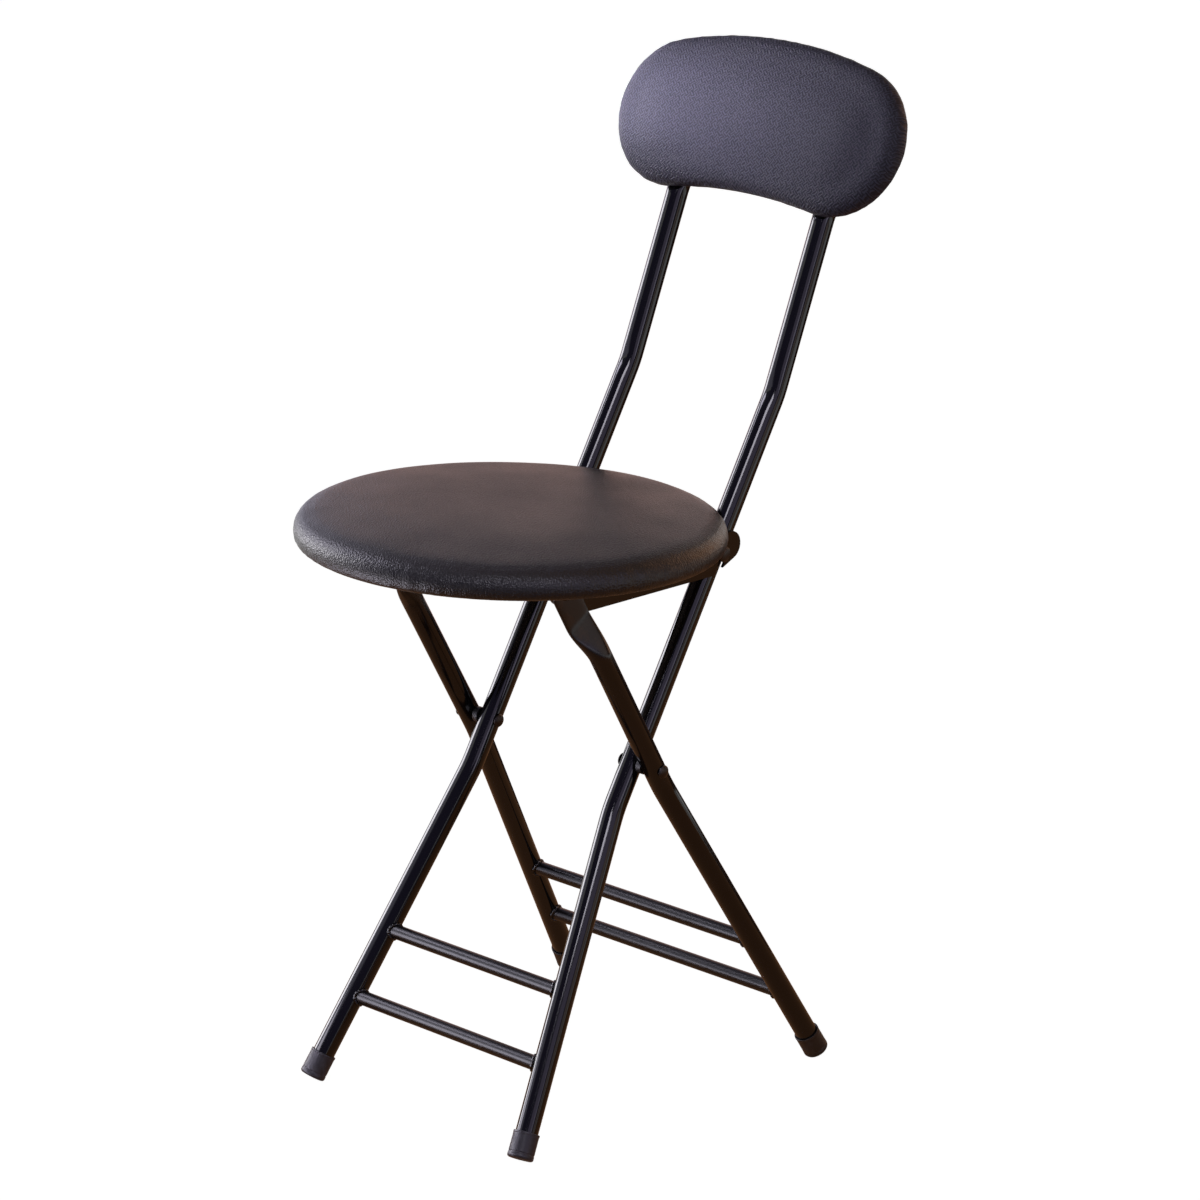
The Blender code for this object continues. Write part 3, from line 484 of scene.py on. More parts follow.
def softProfile(corners, radius, steps=5):  # a flat profile with its corners rounded
    flat = np.column_stack([np.asarray(corners, float), np.zeros(len(corners))])
    return roundedPath(flat, [radius] * (len(corners) - 2), steps)[:, :2]


def domeProfile(radius, height, base, steps=9):  # low dome, rim first
    turn = np.linspace(0, np.pi / 2, steps)
    return np.column_stack([radius * np.cos(turn), base + height * np.sin(turn)])


# feet: caps over the tube ends, worn flat where they stand
footCap = {"wall": 0.0011, "length": 0.02, "sole": 0.005, "round": 0.0018, "wear": 0.0006,
           "boreDepth": 0.006, "lip": 0.0016, "lipStep": 0.0003, "soft": 0.0002,
           "groove": 0.0003, "grooveSteps": (0.0052, 0.0046, 0.0042, 0.0036),  # above the sole
           "treadDepth": 0.0004, "treadPitch": 0.0022, "treadRim": 0.003, "soleStep": 0.0005, "around": 56}


def footPlace(bend, ground):
    down = unit(ground - bend)
    radius = tubeRadius + gap + footCap["wall"] - footCap["round"]
    tilt = math.sqrt(1 - down[2] ** 2)
    height = radius * tilt + footCap["round"] * (1 + down[2]) - footCap["wear"]
    return ground + height / down[2] * down, down


def addFoot(name, bend, ground, body, node):
    # turned profile with a rolled top lip, a groove above the sole and a ringed tread;
    # what would pass below the floor is pressed up to it
    end, down = footPlace(bend, ground)
    bore = tubeRadius + gap
    outer = bore + footCap["wall"]
    length, groove, soft, lip = (footCap[key] for key in ("length", "groove", "soft", "lip"))
    steps = length - np.array(footCap["grooveSteps"])
    side = [(bore, footCap["boreDepth"]), (bore, 0.0), (outer, 0.0), (outer, lip),
            (outer - soft, lip + footCap["lipStep"]), (outer - soft / 2, steps[0]),
            (outer - groove, steps[1]), (outer - groove, steps[2]), (outer, steps[3])]
    upper = softProfile(side, soft, 4)
    turn = np.linspace(0, np.pi / 2, 8)
    rim = np.column_stack([outer - footCap["round"] * (1 - np.cos(turn)),
                           length - footCap["round"] * (1 - np.sin(turn))])
    ring = np.linspace(outer - footCap["round"] - footCap["soleStep"], 0, 40)
    tread = footCap["treadDepth"] * (0.5 - 0.5 * np.cos(2 * np.pi * ring / footCap["treadPitch"]))
    sole = np.column_stack([ring, length - tread * (ring < outer - footCap["treadRim"])])
    profile = np.vstack([(0, footCap["boreDepth"]), upper, rim, sole])
    rows = turned(profile, end - length * down, down, footCap["around"])
    rows[..., 2] = np.maximum(rows[..., 2], 0.0)
    return skin(name, rows, rubber[body], body, [node])


# back tubes
backTube = {"upperRadius": 0.09, "flareRadius": 0.12, "spacing": 0.005, "lip": 0.0005,
            "bore": 0.06, "dentDepth": 0.11, "dentLength": 0.0085, "topFlat": 0.006,
            "flatStart": 0.01, "pressLength": 0.016}
backTube["flatHalfWidth"] = (math.pi * (tubeRadius - backTube["topFlat"] / 2)
                             + backTube["topFlat"]) / 2


def flareAndGround(up, span, drop, footSpan):
    bend = across(1, span, cross - drop * up)
    ground = across(1, footSpan, cross - cross[2] / up[2] * up)
    return bend, ground


backBend, backGround = flareAndGround(backUp, backSpan, stool["backFlareDrop"],
                                      stool["backFootSpan"])
rearBend, rearGround = flareAndGround(rearUp, rearSpan, stool["rearFlareDrop"],
                                      stool["rearFootSpan"])


def tubeFoot(bend, ground):
    end, down = footPlace(bend, ground)
    return end - (footCap["sole"] + gap) * down


def addBackTube(word, side):
    mirror = np.array([side, 1, 1])
    top = across(1, backSpan, upperBend + stool["tubeTop"] * topUp)
    elbow = across(1, backSpan, upperBend)
    corners = [tubeFoot(backBend, backGround), backBend, elbow, top]
    path = Path(roundedPath([corner * mirror for corner in corners],
                            [backTube["flareRadius"], backTube["upperRadius"]]))
    wall, lip = stool["tubeWall"], backTube["lip"]
    body = np.linspace(0, path.length - lip, int(path.length / backTube["spacing"]))
    turn = np.linspace(0, np.pi, 7)[1:]
    s = np.concatenate([[0], body, path.length - lip + lip * np.sin(turn),
                        [path.length - backTube["bore"]] * 2])
    r = np.concatenate([[0], np.full(body.shape, tubeRadius),
                        tubeRadius - wall / 2 + wall / 2 * np.cos(turn), [tubeRadius - wall, 0]])
    bendAt = path.length - stool["tubeTop"]

    def dent(s, turn):  # a press mark on the front of the upper bend
        front = np.clip(-np.sin(turn), 0, 1) ** 6
        return backTube["dentDepth"] * front * np.exp(-((s - bendAt) / backTube["dentLength"]) ** 4)

    # the top is pressed flat behind the backrest: thinner front to back and wider sideways
    flatAt = bendAt + stool["backrestReach"] + backTube["flatStart"]
    press = eased(1 - (flatAt - s) / backTube["pressLength"])
    inset = np.where(r > 0, tubeRadius - r, tubeRadius)
    deep = np.where(r > 0, tubeRadius + press * (backTube["topFlat"] / 2 - tubeRadius) - inset, 0)
    wide = np.where(r > 0, tubeRadius + press * (backTube["flatHalfWidth"] - tubeRadius) - inset, 0)
    rows = sweep(path, s, deep, wide, 2 + press, dent=dent)
    skin("backTube" + word, rows, paint, "main_frame", ["back_tube_" + word.lower()])
    addFoot("frontFoot" + word, backBend * mirror, backGround * mirror, "main_frame",
            "front_foot_" + word.lower())


# rear legs: round tube pressed to a flat with a round end at the seat pivot
rearLeg = {"flareRadius": 0.12, "endRadius": 0.012, "flatThickness": 0.003, "flatLength": 0.026,
           "pressLength": 0.036, "spacing": 0.005, "squareness": 2.6,
           "tipShare": 0.98, "tipThin": 0.6,     # the last rings of the round end are thinner
           "dullGlintReach": 0.08, "dullGlintFade": 0.03}  # duller paint with a painted warm reflection, measured from the pivot


def addRearLeg(word, side):
    mirror = np.array([side, 1, 1])
    endRadius = rearLeg["endRadius"]
    top = across(1, rearSpan, pivot + endRadius * rearUp)
    corners = [tubeFoot(rearBend, rearGround), rearBend, top]
    path = Path(roundedPath([corner * mirror for corner in corners], [rearLeg["flareRadius"]]))
    pivotAt = path.length - endRadius
    flatAt = pivotAt - rearLeg["flatLength"]
    pressAt = flatAt - rearLeg["pressLength"]
    s = np.concatenate([[0], np.arange(0, pressAt, rearLeg["spacing"]),
                        np.linspace(pressAt, flatAt, 26), np.linspace(flatAt, pivotAt, 6)[1:],
                        pivotAt + endRadius * np.sin(np.linspace(0, np.pi / 2, 16)[1:])])
    press = eased((s - pressAt) / rearLeg["pressLength"])
    beyond = np.clip((s - pivotAt) / endRadius, 0, 1)
    wide = (tubeRadius + press * (endRadius - tubeRadius)) * np.sqrt(1 - beyond**2)
    wide[0] = 0
    thick = tubeRadius + press * (rearLeg["flatThickness"] / 2 - tubeRadius)
    shift = side * (thick - tubeRadius)
    thick = np.where(beyond > rearLeg["tipShare"], thick * rearLeg["tipThin"], thick)
    thick[0] = 0
    rows = sweep(path, s, wide, thick, 2 + rearLeg["squareness"] * press, shift, around=56)
    leg = skin("rearLeg" + word, rows, paint, "rear_legs", ["rear_leg_" + word.lower()])
    # the pressed end is duller than the tube below it, and takes a painted reddish reflection
    far = np.linalg.norm(meshPoints(leg) - across(side, rearSpan, pivot), axis=1)
    dulledWithGlint = np.clip((rearLeg["dullGlintReach"] - far) / rearLeg["dullGlintFade"], 0, 1)
    layer = leg.data.attributes.new("dulledWithGlint", "FLOAT", "POINT")
    layer.data.foreach_set("value", dulledWithGlint.astype(np.float32))
    addFoot("rearFoot" + word, rearBend * mirror, rearGround * mirror, "rear_legs",
            "rear_foot_" + word.lower())


for word, side in sides:
    addBackTube(word, side)
    addRearLeg(word, side)
print("tubes, legs and feet made")


# bars, coped to the legs and welded
barReach = {"front": {"upper": 0.1773, "lower": 0.2329}, "rear": {"upper": 0.1824, "lower": 0.2391}}
weld = {"radius": 0.0013, "ripple": 0.13, "waves": (17, 29), "around": 12, "along": 96,
        "lift": 0.0004, "clearance": 0.0006}


def copeReach(offset, middle, bend, ground, clearance):
    # half length of a bar at each offset (y, z): where a line along x meets the leg's cylinder
    along = unit(bend - ground)
    line = np.concatenate([np.zeros(offset.shape[:-1] + (1,)), middle[1:] + offset - ground[1:]], -1)
    slide = line @ along
    radius = tubeRadius + clearance
    a = 1 - along[0] ** 2
    b = along[0] * slide
    c = (line**2).sum(-1) - slide**2 - radius**2
    return ground[0] + (b - np.sqrt(np.maximum(b**2 - a * c, 0))) / a


def addBar(pair, level, up, bend, ground, body):
    middle = ground + (bend - ground) * ((cross[2] - barReach[pair][level] * up[2]) / bend[2])
    turn = fullTurn(40)
    ring = np.column_stack([np.cos(turn), np.sin(turn)])
    offset = stool["barRadius"] * ring
    half = copeReach(offset, middle, bend, ground, gap)
    share = np.array([-1, -1, -0.5, 0, 0.5, 1, 1])
    pull = np.array([0, 1, 1, 1, 1, 1, 0])
    rows = np.empty((len(share), len(turn), 3))
    rows[..., 0] = share[:, None] * (half[None] * pull[:, None] + half.min() * (1 - pull[:, None]))
    rows[..., 1:] = middle[1:] + offset[None] * pull[:, None, None]
    name = pair + "Bar" + level.title()
    skin(name, rows, barPaint, body, [pair + "_bar_" + level])

    # bead: a small tube round the saddle line where bar meets leg, rippled along its length
    turn = fullTurn(weld["along"])
    ring = np.column_stack([np.cos(turn), np.sin(turn)])
    offset = (stool["barRadius"] + weld["lift"]) * ring
    saddle = copeReach(offset, middle, bend, ground, weld["clearance"])
    line = np.column_stack([saddle, middle[1:] + offset])
    along = unit(np.roll(line, -1, 0) - np.roll(line, 1, 0))
    outward = np.column_stack([np.zeros(len(turn)), ring])
    outward = unit(outward - (outward * along).sum(-1, keepdims=True) * along)
    third = np.cross(along, outward)
    slow, quick = (wave * turn for wave in weld["waves"])
    bead = weld["radius"] * (1 + weld["ripple"] * (np.sin(slow) + 0.6 * np.sin(quick + 1)))
    spin = fullTurn(weld["around"])
    rows = line[:, None] + bead[:, None, None] * (np.cos(spin)[None, :, None] * outward[:, None]
                                                  + np.sin(spin)[None, :, None] * third[:, None])
    for word, side in sides:
        skin("weld" + name[0].upper() + name[1:] + word, rows * np.array([side, 1, 1]), paint, body,
             loop=True)


for level in ("upper", "lower"):
    addBar("front", level, backUp, backBend, backGround, "main_frame")
    addBar("rear", level, rearUp, rearBend, rearGround, "rear_legs")
print("bars and welds made")


# rivets, studs, spacers and washers
fastener = {"rivet": 0.003, "headRadius": 0.0052, "headHeight": 0.0021, "stud": 0.0035,
            "studHead": 0.006, "studHeadHeight": 0.0015, "spacer": 0.0062, "washer": 0.0075,
            "railThickness": 0.0022, "edge": 0.0004}
railInner = backSpan + tubeRadius + stool["slideGap"]
railOuter = railInner + fastener["railThickness"]
legInner = rearSpan - tubeRadius


def pinProfile(length, radius, innerHead, outerHead):  # dome, shank, dome
    inner = domeProfile(innerHead[0], innerHead[1], 0.0)[::-1] * np.array([1, -1])
    outer = domeProfile(outerHead[0], outerHead[1], length)
    shank = np.array([[radius, 0], [radius, length]])
    return np.vstack([inner, shank, outer])


def ringProfile(bore, radius, length):
    corners = [(bore, length / 2), (bore, 0), (radius, 0), (radius, length), (bore, length),
               (bore, length / 2)]
    return softProfile(corners, fastener["edge"], 4)[:-1]


def addTurned(name, profile, side, start, place, material, body, node, loop=False):
    rows = turned(profile, across(side, start, place), side * xAxis, 40)
    return skin(name, rows, material, body, [node], loop=loop)


head = (fastener["headRadius"], fastener["headHeight"])
rivet = fastener["rivet"]
tubeInner = backSpan - tubeRadius - gap
for word, side in sides:
    low = word.lower()
    length = rearSpan + tubeRadius + gap - tubeInner
    addTurned("crossRivet" + word, pinProfile(length, rivet, head, head), side, tubeInner, cross,
              steel, "main_frame", "cross_rivet_" + low)
    length = stool["crossGap"] - 2 * gap
    addTurned("crossSpacer" + word, ringProfile(rivet + gap, fastener["spacer"], length), side,
              backSpan + tubeRadius + gap, cross, nylon, "main_frame",
              "cross_spacer_" + low, loop=True)
    studHead = (fastener["studHead"], fastener["studHeadHeight"])
    length = railOuter + stool["slideGap"] - tubeInner
    addTurned("hookStud" + word, pinProfile(length, fastener["stud"], head, studHead), side,
              tubeInner, studPlace, steel, "main_frame", "hook_stud_" + low)
    length = legInner + rearLeg["flatThickness"] + gap - railInner + gap
    addTurned("seatPivot" + word, pinProfile(length, rivet, head, head), side, railInner - gap,
              pivot, steel, "rear_legs", "seat_pivot_" + low)
    length = legInner - railOuter - 2 * gap
    addTurned("pivotWasher" + word, ringProfile(rivet + gap, fastener["washer"], length), side,
              railOuter + gap, pivot, nylon, "rear_legs", "pivot_washer_" + low, loop=True)


# pan-head screws with a cross recess
screw = {"radius": 0.0016, "head": 0.0038, "height": 0.002, "length": 0.0093, "slot": 0.0005,
         "slotReach": 0.0021, "slotDepth": 0.0011}
bolt = {"radius": 0.0024, "head": 0.0048, "height": 0.0024, "length": 0.0141, "slot": 0.0006,
        "slotReach": 0.0027, "slotDepth": 0.0013}
crossRecess = {"sideSlope": 0.00025, "endSlope": 0.0005, "around": 72, "rings": 30}


def boxMiddle(node):
    low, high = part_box(node)
    return (np.array(low) + np.array(high)) / 2


def addScrew(name, size, start, axis, body, node):
    # head height = dome - cross recess, where the recess is deep within slot of either axis
    start, axis = np.asarray(start, float), unit(np.asarray(axis, float))
    first = unit(np.cross(axis, xAxis if abs(axis[0]) < 0.9 else backUp))
    second = np.cross(axis, first)
    turn = fullTurn(crossRecess["around"])[None]
    radius = np.linspace(1, 0, crossRecess["rings"])[:, None] * size["head"]
    u, v = radius * np.cos(turn), radius * np.sin(turn)
    dome = size["height"] * np.sqrt(np.clip(1 - (radius / size["head"]) ** 2, 0, 1)) ** 0.7
    arm = np.minimum(np.abs(u), np.abs(v))
    inside = np.clip((size["slot"] - arm) / crossRecess["sideSlope"] + 0.5, 0, 1)
    inside = inside * np.clip((size["slotReach"] - radius) / crossRecess["endSlope"] + 0.5, 0, 1)
    rise = dome - size["slotDepth"] * inside
    headRows = start - rise[..., None] * axis + u[..., None] * first + v[..., None] * second
    shank = np.array([[size["radius"], 0], [size["radius"], size["length"]], [0, size["length"]]])
    spoke = np.cos(turn)[..., None] * first + np.sin(turn)[..., None] * second
    shankRows = start + shank[:, 1, None, None] * axis + shank[:, 0, None, None] * spoke
    rows = np.concatenate([headRows[::-1], shankRows])
    return skin(name, rows, steel, body, [node])


for word, side in sides:
    for level in ("lower", "upper"):
        node = "backrest_bolt_" + word.lower() + "_" + level
        height = (boxMiddle(node) - backrestOrigin) @ topUp
        start = across(side, backSpan, backrestOrigin + height * topUp)
        start = start - (backTube["topFlat"] / 2 + gap) * topFront
        addScrew("backrestBolt" + word + level.title(), bolt, start, topFront, "main_frame", node)
    for station in ("front", "middle", "rear"):
        node = "rail_screw_" + word.lower() + "_" + station
        start = boxMiddle(node) + (screw["height"] - screw["length"]) / 2 * seatUp
        addScrew("railScrew" + word + station.title(), screw, start, seatUp, "seat", node)
print("fasteners made")


# padded pieces
cloth = {"quality": 6, "mass": 0.3, "stiffness": 40.0, "bending": 12.0, "pressure": 2.0,
         "frames": 20, "taut": 40}


def simulate(pad, voxel, cap, glued):
    # voxel remesh, swell under pressure, then ease each point back within a cap of where it began;
    # the move is averaged with the neighbours' moves, so the cover stays taut
    remesh = pad.modifiers.new("remesh", "REMESH")
    remesh.mode = "VOXEL"
    remesh.voxel_size = voxel
    remesh.use_smooth_shade = True
    applyModifiers(pad)
    rest = meshPoints(pad)
    held = pad.vertex_groups.new(name="held")
    held.add(np.flatnonzero(glued(rest)).tolist(), 1.0, "REPLACE")
    settings = pad.modifiers.new("cloth", "CLOTH").settings
    settings.quality = cloth["quality"]
    settings.mass = cloth["mass"]
    settings.tension_stiffness = settings.compression_stiffness = cloth["stiffness"]
    settings.shear_stiffness = cloth["stiffness"] / 3
    settings.bending_stiffness = cloth["bending"]
    settings.use_pressure = True
    settings.uniform_pressure_force = cloth["pressure"]
    settings.effector_weights.gravity = 0
    settings.vertex_group_mass = "held"
    for step in range(1, cloth["frames"] + 1):
        bpy.context.scene.frame_set(step)
    shaped = pad.evaluated_get(bpy.context.evaluated_depsgraph_get())
    moved = np.empty(len(rest) * 3, np.float32)
    shaped.data.vertices.foreach_get("co", moved)
    pad.modifiers.clear()
    bpy.context.scene.frame_set(1)
    shift = moved.reshape(-1, 3) - rest
    ends = np.empty(len(pad.data.edges) * 2, np.int32)
    pad.data.edges.foreach_get("vertices", ends)
    ends = ends.reshape(-1, 2)
    count = np.bincount(ends.ravel(), minlength=len(rest))[:, None]
    for step in range(cloth["taut"]):
        total = np.zeros_like(shift)
        np.add.at(total, ends[:, 0], shift[ends[:, 1]])
        np.add.at(total, ends[:, 1], shift[ends[:, 0]])
        shift = (shift + total / count) / 2
    size = np.maximum(np.linalg.norm(shift, axis=1, keepdims=True), 1e-9)
    return rest + shift * cap * np.tanh(size / cap) / size


def setPoints(piece, points):
    piece.data.vertices.foreach_set("co", points.astype(np.float32).ravel())
    piece.data.update()


def applyModifiers(piece):
    graph = bpy.context.evaluated_depsgraph_get()
    graph.update()
    mesh = bpy.data.meshes.new_from_object(piece.evaluated_get(graph))
    piece.modifiers.clear()
    piece.data = mesh


def carve(pad, cutter):  # one subdivision, then the board's recess is cut away
    smooth = pad.modifiers.new("smooth", "SUBSURF")
    smooth.levels = smooth.render_levels = 1
    recess = pad.modifiers.new("recess", "BOOLEAN")
    recess.operation, recess.solver, recess.object = "DIFFERENCE", "EXACT", cutter
    applyModifiers(pad)
    bpy.data.objects.remove(cutter)


def filled(name, rows):  # a grid whose first and last rings are filled
    count, around = rows.shape[:2]
    ends = [list(range(around)), list(range((count - 1) * around, count * around))]
    return plainObject(name, closedMesh(name, rows, gridFaces(rows) + ends))


def waviness(turn, seed, low, high, count):  # sum of a few sine waves round a rim, about -1 to 1
    draw = np.random.default_rng(seed)
    waves = draw.uniform(low, high, count).round()
    phase = draw.uniform(0, 2 * np.pi, count)
    weight = draw.uniform(0.4, 1.0, count)
    total = (np.sin(turn[..., None] * waves + phase) * weight).sum(-1)
    return total / weight.sum() * 1.8


seatPad = {"radius": 0.16, "wrap": 0.014, "height": 0.031, "widest": 0.0088, "shoulder": 16.0,
           "rimDepth": 0.0105, "rimPower": 2.7, "boardThickness": 0.009, "margin": 0.0003, "around": 128,
           "voxel": 0.0042, "cap": 0.006,
           "gluedAbove": 0.004, "gluedWithin": 0.007,  # above the widest ring, and in from it
           "pucker": 0.00042, "sideStart": 0.024, "sideFade": 0.016, "sag": 0.0006,
           "gather": (3, 34, 96, 9), "patch": (8, 2, 7, 4), "slow": (5, 2, 5, 3)}  # seed, waves, count
cutDepth = 0.01                 # how far a recess cutter stands out of a pad's underside


def addSeatPad():
    middle = levelSeat(boxMiddle("seat_board"))  # drawn level, tilted at the end
    centre = np.array([middle[0], middle[1], 0])
    boardBottom = middle[2] - seatPad["boardThickness"] / 2
    radius, depth = seatPad["radius"], seatPad["rimDepth"]
    bottom = boardBottom - gap - stool["lipThickness"]
    top, widest = bottom + seatPad["height"], bottom + seatPad["widest"]
    # profile from the top's middle to the middle of the underside: a soft dome down to the widest
    # ring, height = widest + rise * sqrt(1 - ring ** shoulder), then a squarish rim below it
    ring = 1 - np.linspace(1, 0, 40) ** 2.2
    rise = (top - widest) * np.sqrt(1 - ring ** seatPad["shoulder"])
    dome = np.column_stack([ring * radius, widest + rise])
    bulge = squarish(np.linspace(0, -np.pi / 2, 14)[1:], seatPad["rimPower"])
    rim = np.column_stack([radius - depth + depth * bulge[0], widest + seatPad["widest"] * bulge[1]])
    under = np.column_stack([np.linspace(radius - depth, 0, 12)[1:], np.full(11, bottom)])
    rows = turned(np.vstack([dome, rim, under]), centre, zAxis, seatPad["around"])
    pad = filled("seatPad", rows)

    def glued(p):  # the side wall, pulled tight over the board's edge
        outside = np.hypot(*(p - middle)[:, :2].T) > radius - seatPad["gluedWithin"]
        return (p[:, 2] < widest + seatPad["gluedAbove"]) | outside

    points = simulate(pad, seatPad["voxel"], seatPad["cap"], glued)
    # back to the drawn size: the widest ring and the highest point
    flat = points - middle
    reach = np.linalg.norm(flat[:, :2], axis=1)
    points[:, :2] = middle[:2] + flat[:, :2] * (radius - seatPad["margin"]) / reach.max()
    points[:, 2] = np.maximum(points[:, 2], bottom)
    lift = np.maximum(points[:, 2] - widest, 0)
    points[:, 2] += lift * ((top - widest) / lift.max() - 1)
    # gathers: fine waves round the rim, strongest low on the side, and a slow unevenness
    flat = points - middle
    angle = np.arctan2(flat[:, 1], flat[:, 0])
    reach = np.linalg.norm(flat[:, :2], axis=1)
    level = np.clip((points[:, 2] - bottom) / (0.8 * seatPad["height"]), 0, 1)
    side = np.clip((reach - (radius - seatPad["sideStart"])) / seatPad["sideFade"], 0, 1)
    belt = np.sin(np.pi * np.clip(level, 0.02, 0.98)) ** 0.8
    gather = waviness(angle, *seatPad["gather"]) * side * belt
    patch = np.clip(0.55 + 0.8 * waviness(angle, *seatPad["patch"]), 0.05, 1.3)
    inward = seatPad["pucker"] * (gather * patch - 1.1 * side)
    points[:, :2] += flat[:, :2] / np.maximum(reach, 1e-6)[:, None] * inward[:, None]
    slow = waviness(angle, *seatPad["slow"]) * np.clip(reach / radius, 0, 1) ** 2
    points[:, 2] += np.where(level > 0.9, seatPad["sag"] * (slow - 1) * 0.5, 0)
    setPoints(pad, points)
    edge = radius - seatPad["wrap"]
    ceiling = boardBottom + seatPad["boardThickness"] + gap
    lip = edge - stool["lipWidth"]
    profile = [(0, bottom - cutDepth), (lip, bottom - cutDepth), (lip, boardBottom - gap),
               (edge + gap, boardBottom - gap), (edge + gap, ceiling), (0, ceiling)]
    carve(pad, filled("seatRecess", turned(profile, centre, zAxis, seatPad["around"])))
    setPoints(pad, tipSeat(meshPoints(pad)))
    dress(pad, seatLeather, "seat", ["seat_pad"], 50)
    return middle, lip, bottom


seatMiddle, seatLip, seatBottom = addSeatPad()
print("seat pad made")


backrestPad = {"width": 0.2764, "endRadius": 0.0585, "dip": 0.0063, "rise": 0.01, "edge": 0.022,
               "edgeDepth": 0.012, "frontDepth": 0.021, "edgePower": 2.5, "crown": 0.005, "wrap": 0.013,
               "boardThickness": 0.008, "margin": 0.0003, "voxel": 0.004, "cap": 0.005, "glued": 0.8,
               "pucker": 0.0003, "gather": (12, 26, 74, 8), "oval": (0.138, 0.06), "gatherFrom": 0.8}


def beanOutline(inset, around=40):
    # two round ends joined by a long crown arc above and a shallow hollow arc below;
    # pulling in by inset keeps the arcs' centres: ends and crown shrink, the hollow grows
    end, dip, rise = backrestPad["endRadius"], backrestPad["dip"], backrestPad["rise"]
    lobe = backrestPad["width"] / 2 - end
    height = 2 * end - dip + rise
    endHeight = end - dip
    crown = (lobe**2 + 2 * end * rise + rise**2) / (2 * rise)
    hollow = (lobe**2 - 2 * end * dip + dip**2) / (2 * dip)
    crownTurn = math.atan2(lobe, endHeight - height + crown)
    hollowTurn = math.atan2(lobe, endHeight + hollow)
    turn = np.linspace(0, crownTurn, around // 2, endpoint=False)
    upper = np.column_stack([(crown - inset) * np.sin(turn),
                             height - crown + (crown - inset) * np.cos(turn)])
    turn = np.linspace(crownTurn, np.pi + hollowTurn, around)
    lobeEnd = np.column_stack([lobe + (end - inset) * np.sin(turn),
                               endHeight + (end - inset) * np.cos(turn)])
    turn = np.linspace(hollowTurn, 0, around // 2)[1:]
    lower = np.column_stack([(hollow + inset) * np.sin(turn),
                             (hollow + inset) * np.cos(turn) - hollow])
    right = np.vstack([upper, lobeEnd, lower])
    left = right[-2:0:-1] * np.array([-1, 1])
    return np.vstack([right, left])


def backrestPoints(flat):  # from sideways, up the tubes, and depth in front of them
    return backrestOrigin + flat[..., :1] * xAxis + flat[..., 1:2] * topUp + flat[..., 2:] * topFront


def backrestLocal(points):
    flat = points - backrestOrigin
    return np.column_stack([flat @ xAxis, flat @ topUp, flat @ topFront])


def beanRows(profile):  # rows of the outline at each (inset, depth in front of the tubes)
    flat = np.stack([beanOutline(inset) for inset, depth in profile])
    depth = np.array([depth for inset, depth in profile])[:, None, None]
    return backrestPoints(np.concatenate([flat, np.broadcast_to(depth, flat[..., :1].shape)], -1))


def addBackrestPad():
    # rim: a squarish half round, deeper towards the front; then a shallow crown to the middle
    back = backTube["topFlat"] / 2 + gap
    edge, crown, margin = backrestPad["edge"], backrestPad["crown"], backrestPad["margin"]
    turn = np.linspace(-np.pi / 2, np.pi / 2, 21)
    bulge = squarish(turn, backrestPad["edgePower"])
    frontDepth = backrestPad["frontDepth"]
    depth = np.where(turn > 0, frontDepth, backrestPad["edgeDepth"])
    rim = np.column_stack([depth * (1 - bulge[0]), back + edge / 2 * (1 + bulge[1])])
    share = np.linspace(0, 1, 14)[1:]
    front = np.column_stack([frontDepth + (backrestPad["endRadius"] * 0.97 - frontDepth) * share,
                             back + edge + crown * np.sin(np.pi / 2 * share)])
    pad = filled("backrestPad", beanRows(np.vstack([rim, front])))
    points = simulate(pad, backrestPad["voxel"], backrestPad["cap"],
                      lambda p: backrestLocal(p)[:, 2] < back + backrestPad["glued"] * edge)
    # back to the drawn size: width, height and the highest point of the front
    flat = backrestLocal(points)
    outline = beanOutline(0.0)
    flat[:, 0] *= (outline[:, 0].max() - margin) / np.abs(flat[:, 0]).max()
    lowest, highest = outline[:, 1].min() + margin, outline[:, 1].max() - margin
    span = flat[:, 1].max() - flat[:, 1].min()
    flat[:, 1] = lowest + (flat[:, 1] - flat[:, 1].min()) * (highest - lowest) / span
    flat[:, 2] = np.maximum(flat[:, 2], back)
    lift = np.maximum(flat[:, 2] - back - edge / 2, 0)
    flat[:, 2] += lift * ((edge / 2 + crown) / lift.max() - 1)
    # gathers low on the side, where the covering is pulled round the board
    arm = flat[:, :2] - np.array([0.0, outline[:, 1].mean()])
    angle = np.arctan2(arm[:, 1], arm[:, 0])
    level = np.clip((flat[:, 2] - back) / edge, 0.02, 0.98)
    gather = waviness(angle, *backrestPad["gather"]) * np.sin(np.pi * level)
    far = np.linalg.norm(arm / np.array(backrestPad["oval"]), axis=1)
    rimward = np.clip((far - backrestPad["gatherFrom"]) / (1 - backrestPad["gatherFrom"]), 0, 1)
    pull = backrestPad["pucker"] * rimward * (gather - 1)
    flat[:, :2] += unit(arm + 1e-9) * pull[:, None]
    setPoints(pad, backrestPoints(flat))
    boardBack = back + stool["lipThickness"] + gap
    ceiling = boardBack + backrestPad["boardThickness"] + gap
    wrap = backrestPad["wrap"]
    lip = wrap + stool["lipWidth"]
    recess = [(lip, back - cutDepth), (lip, boardBack - gap), (wrap - gap, boardBack - gap),
              (wrap - gap, ceiling)]
    carve(pad, filled("backrestRecess", beanRows(recess)))
    dress(pad, backLeather, "main_frame", ["backrest_pad"], 50)
    return lip, back


backrestLip, backrestBack = addBackrestPad()
print("backrest pad made")


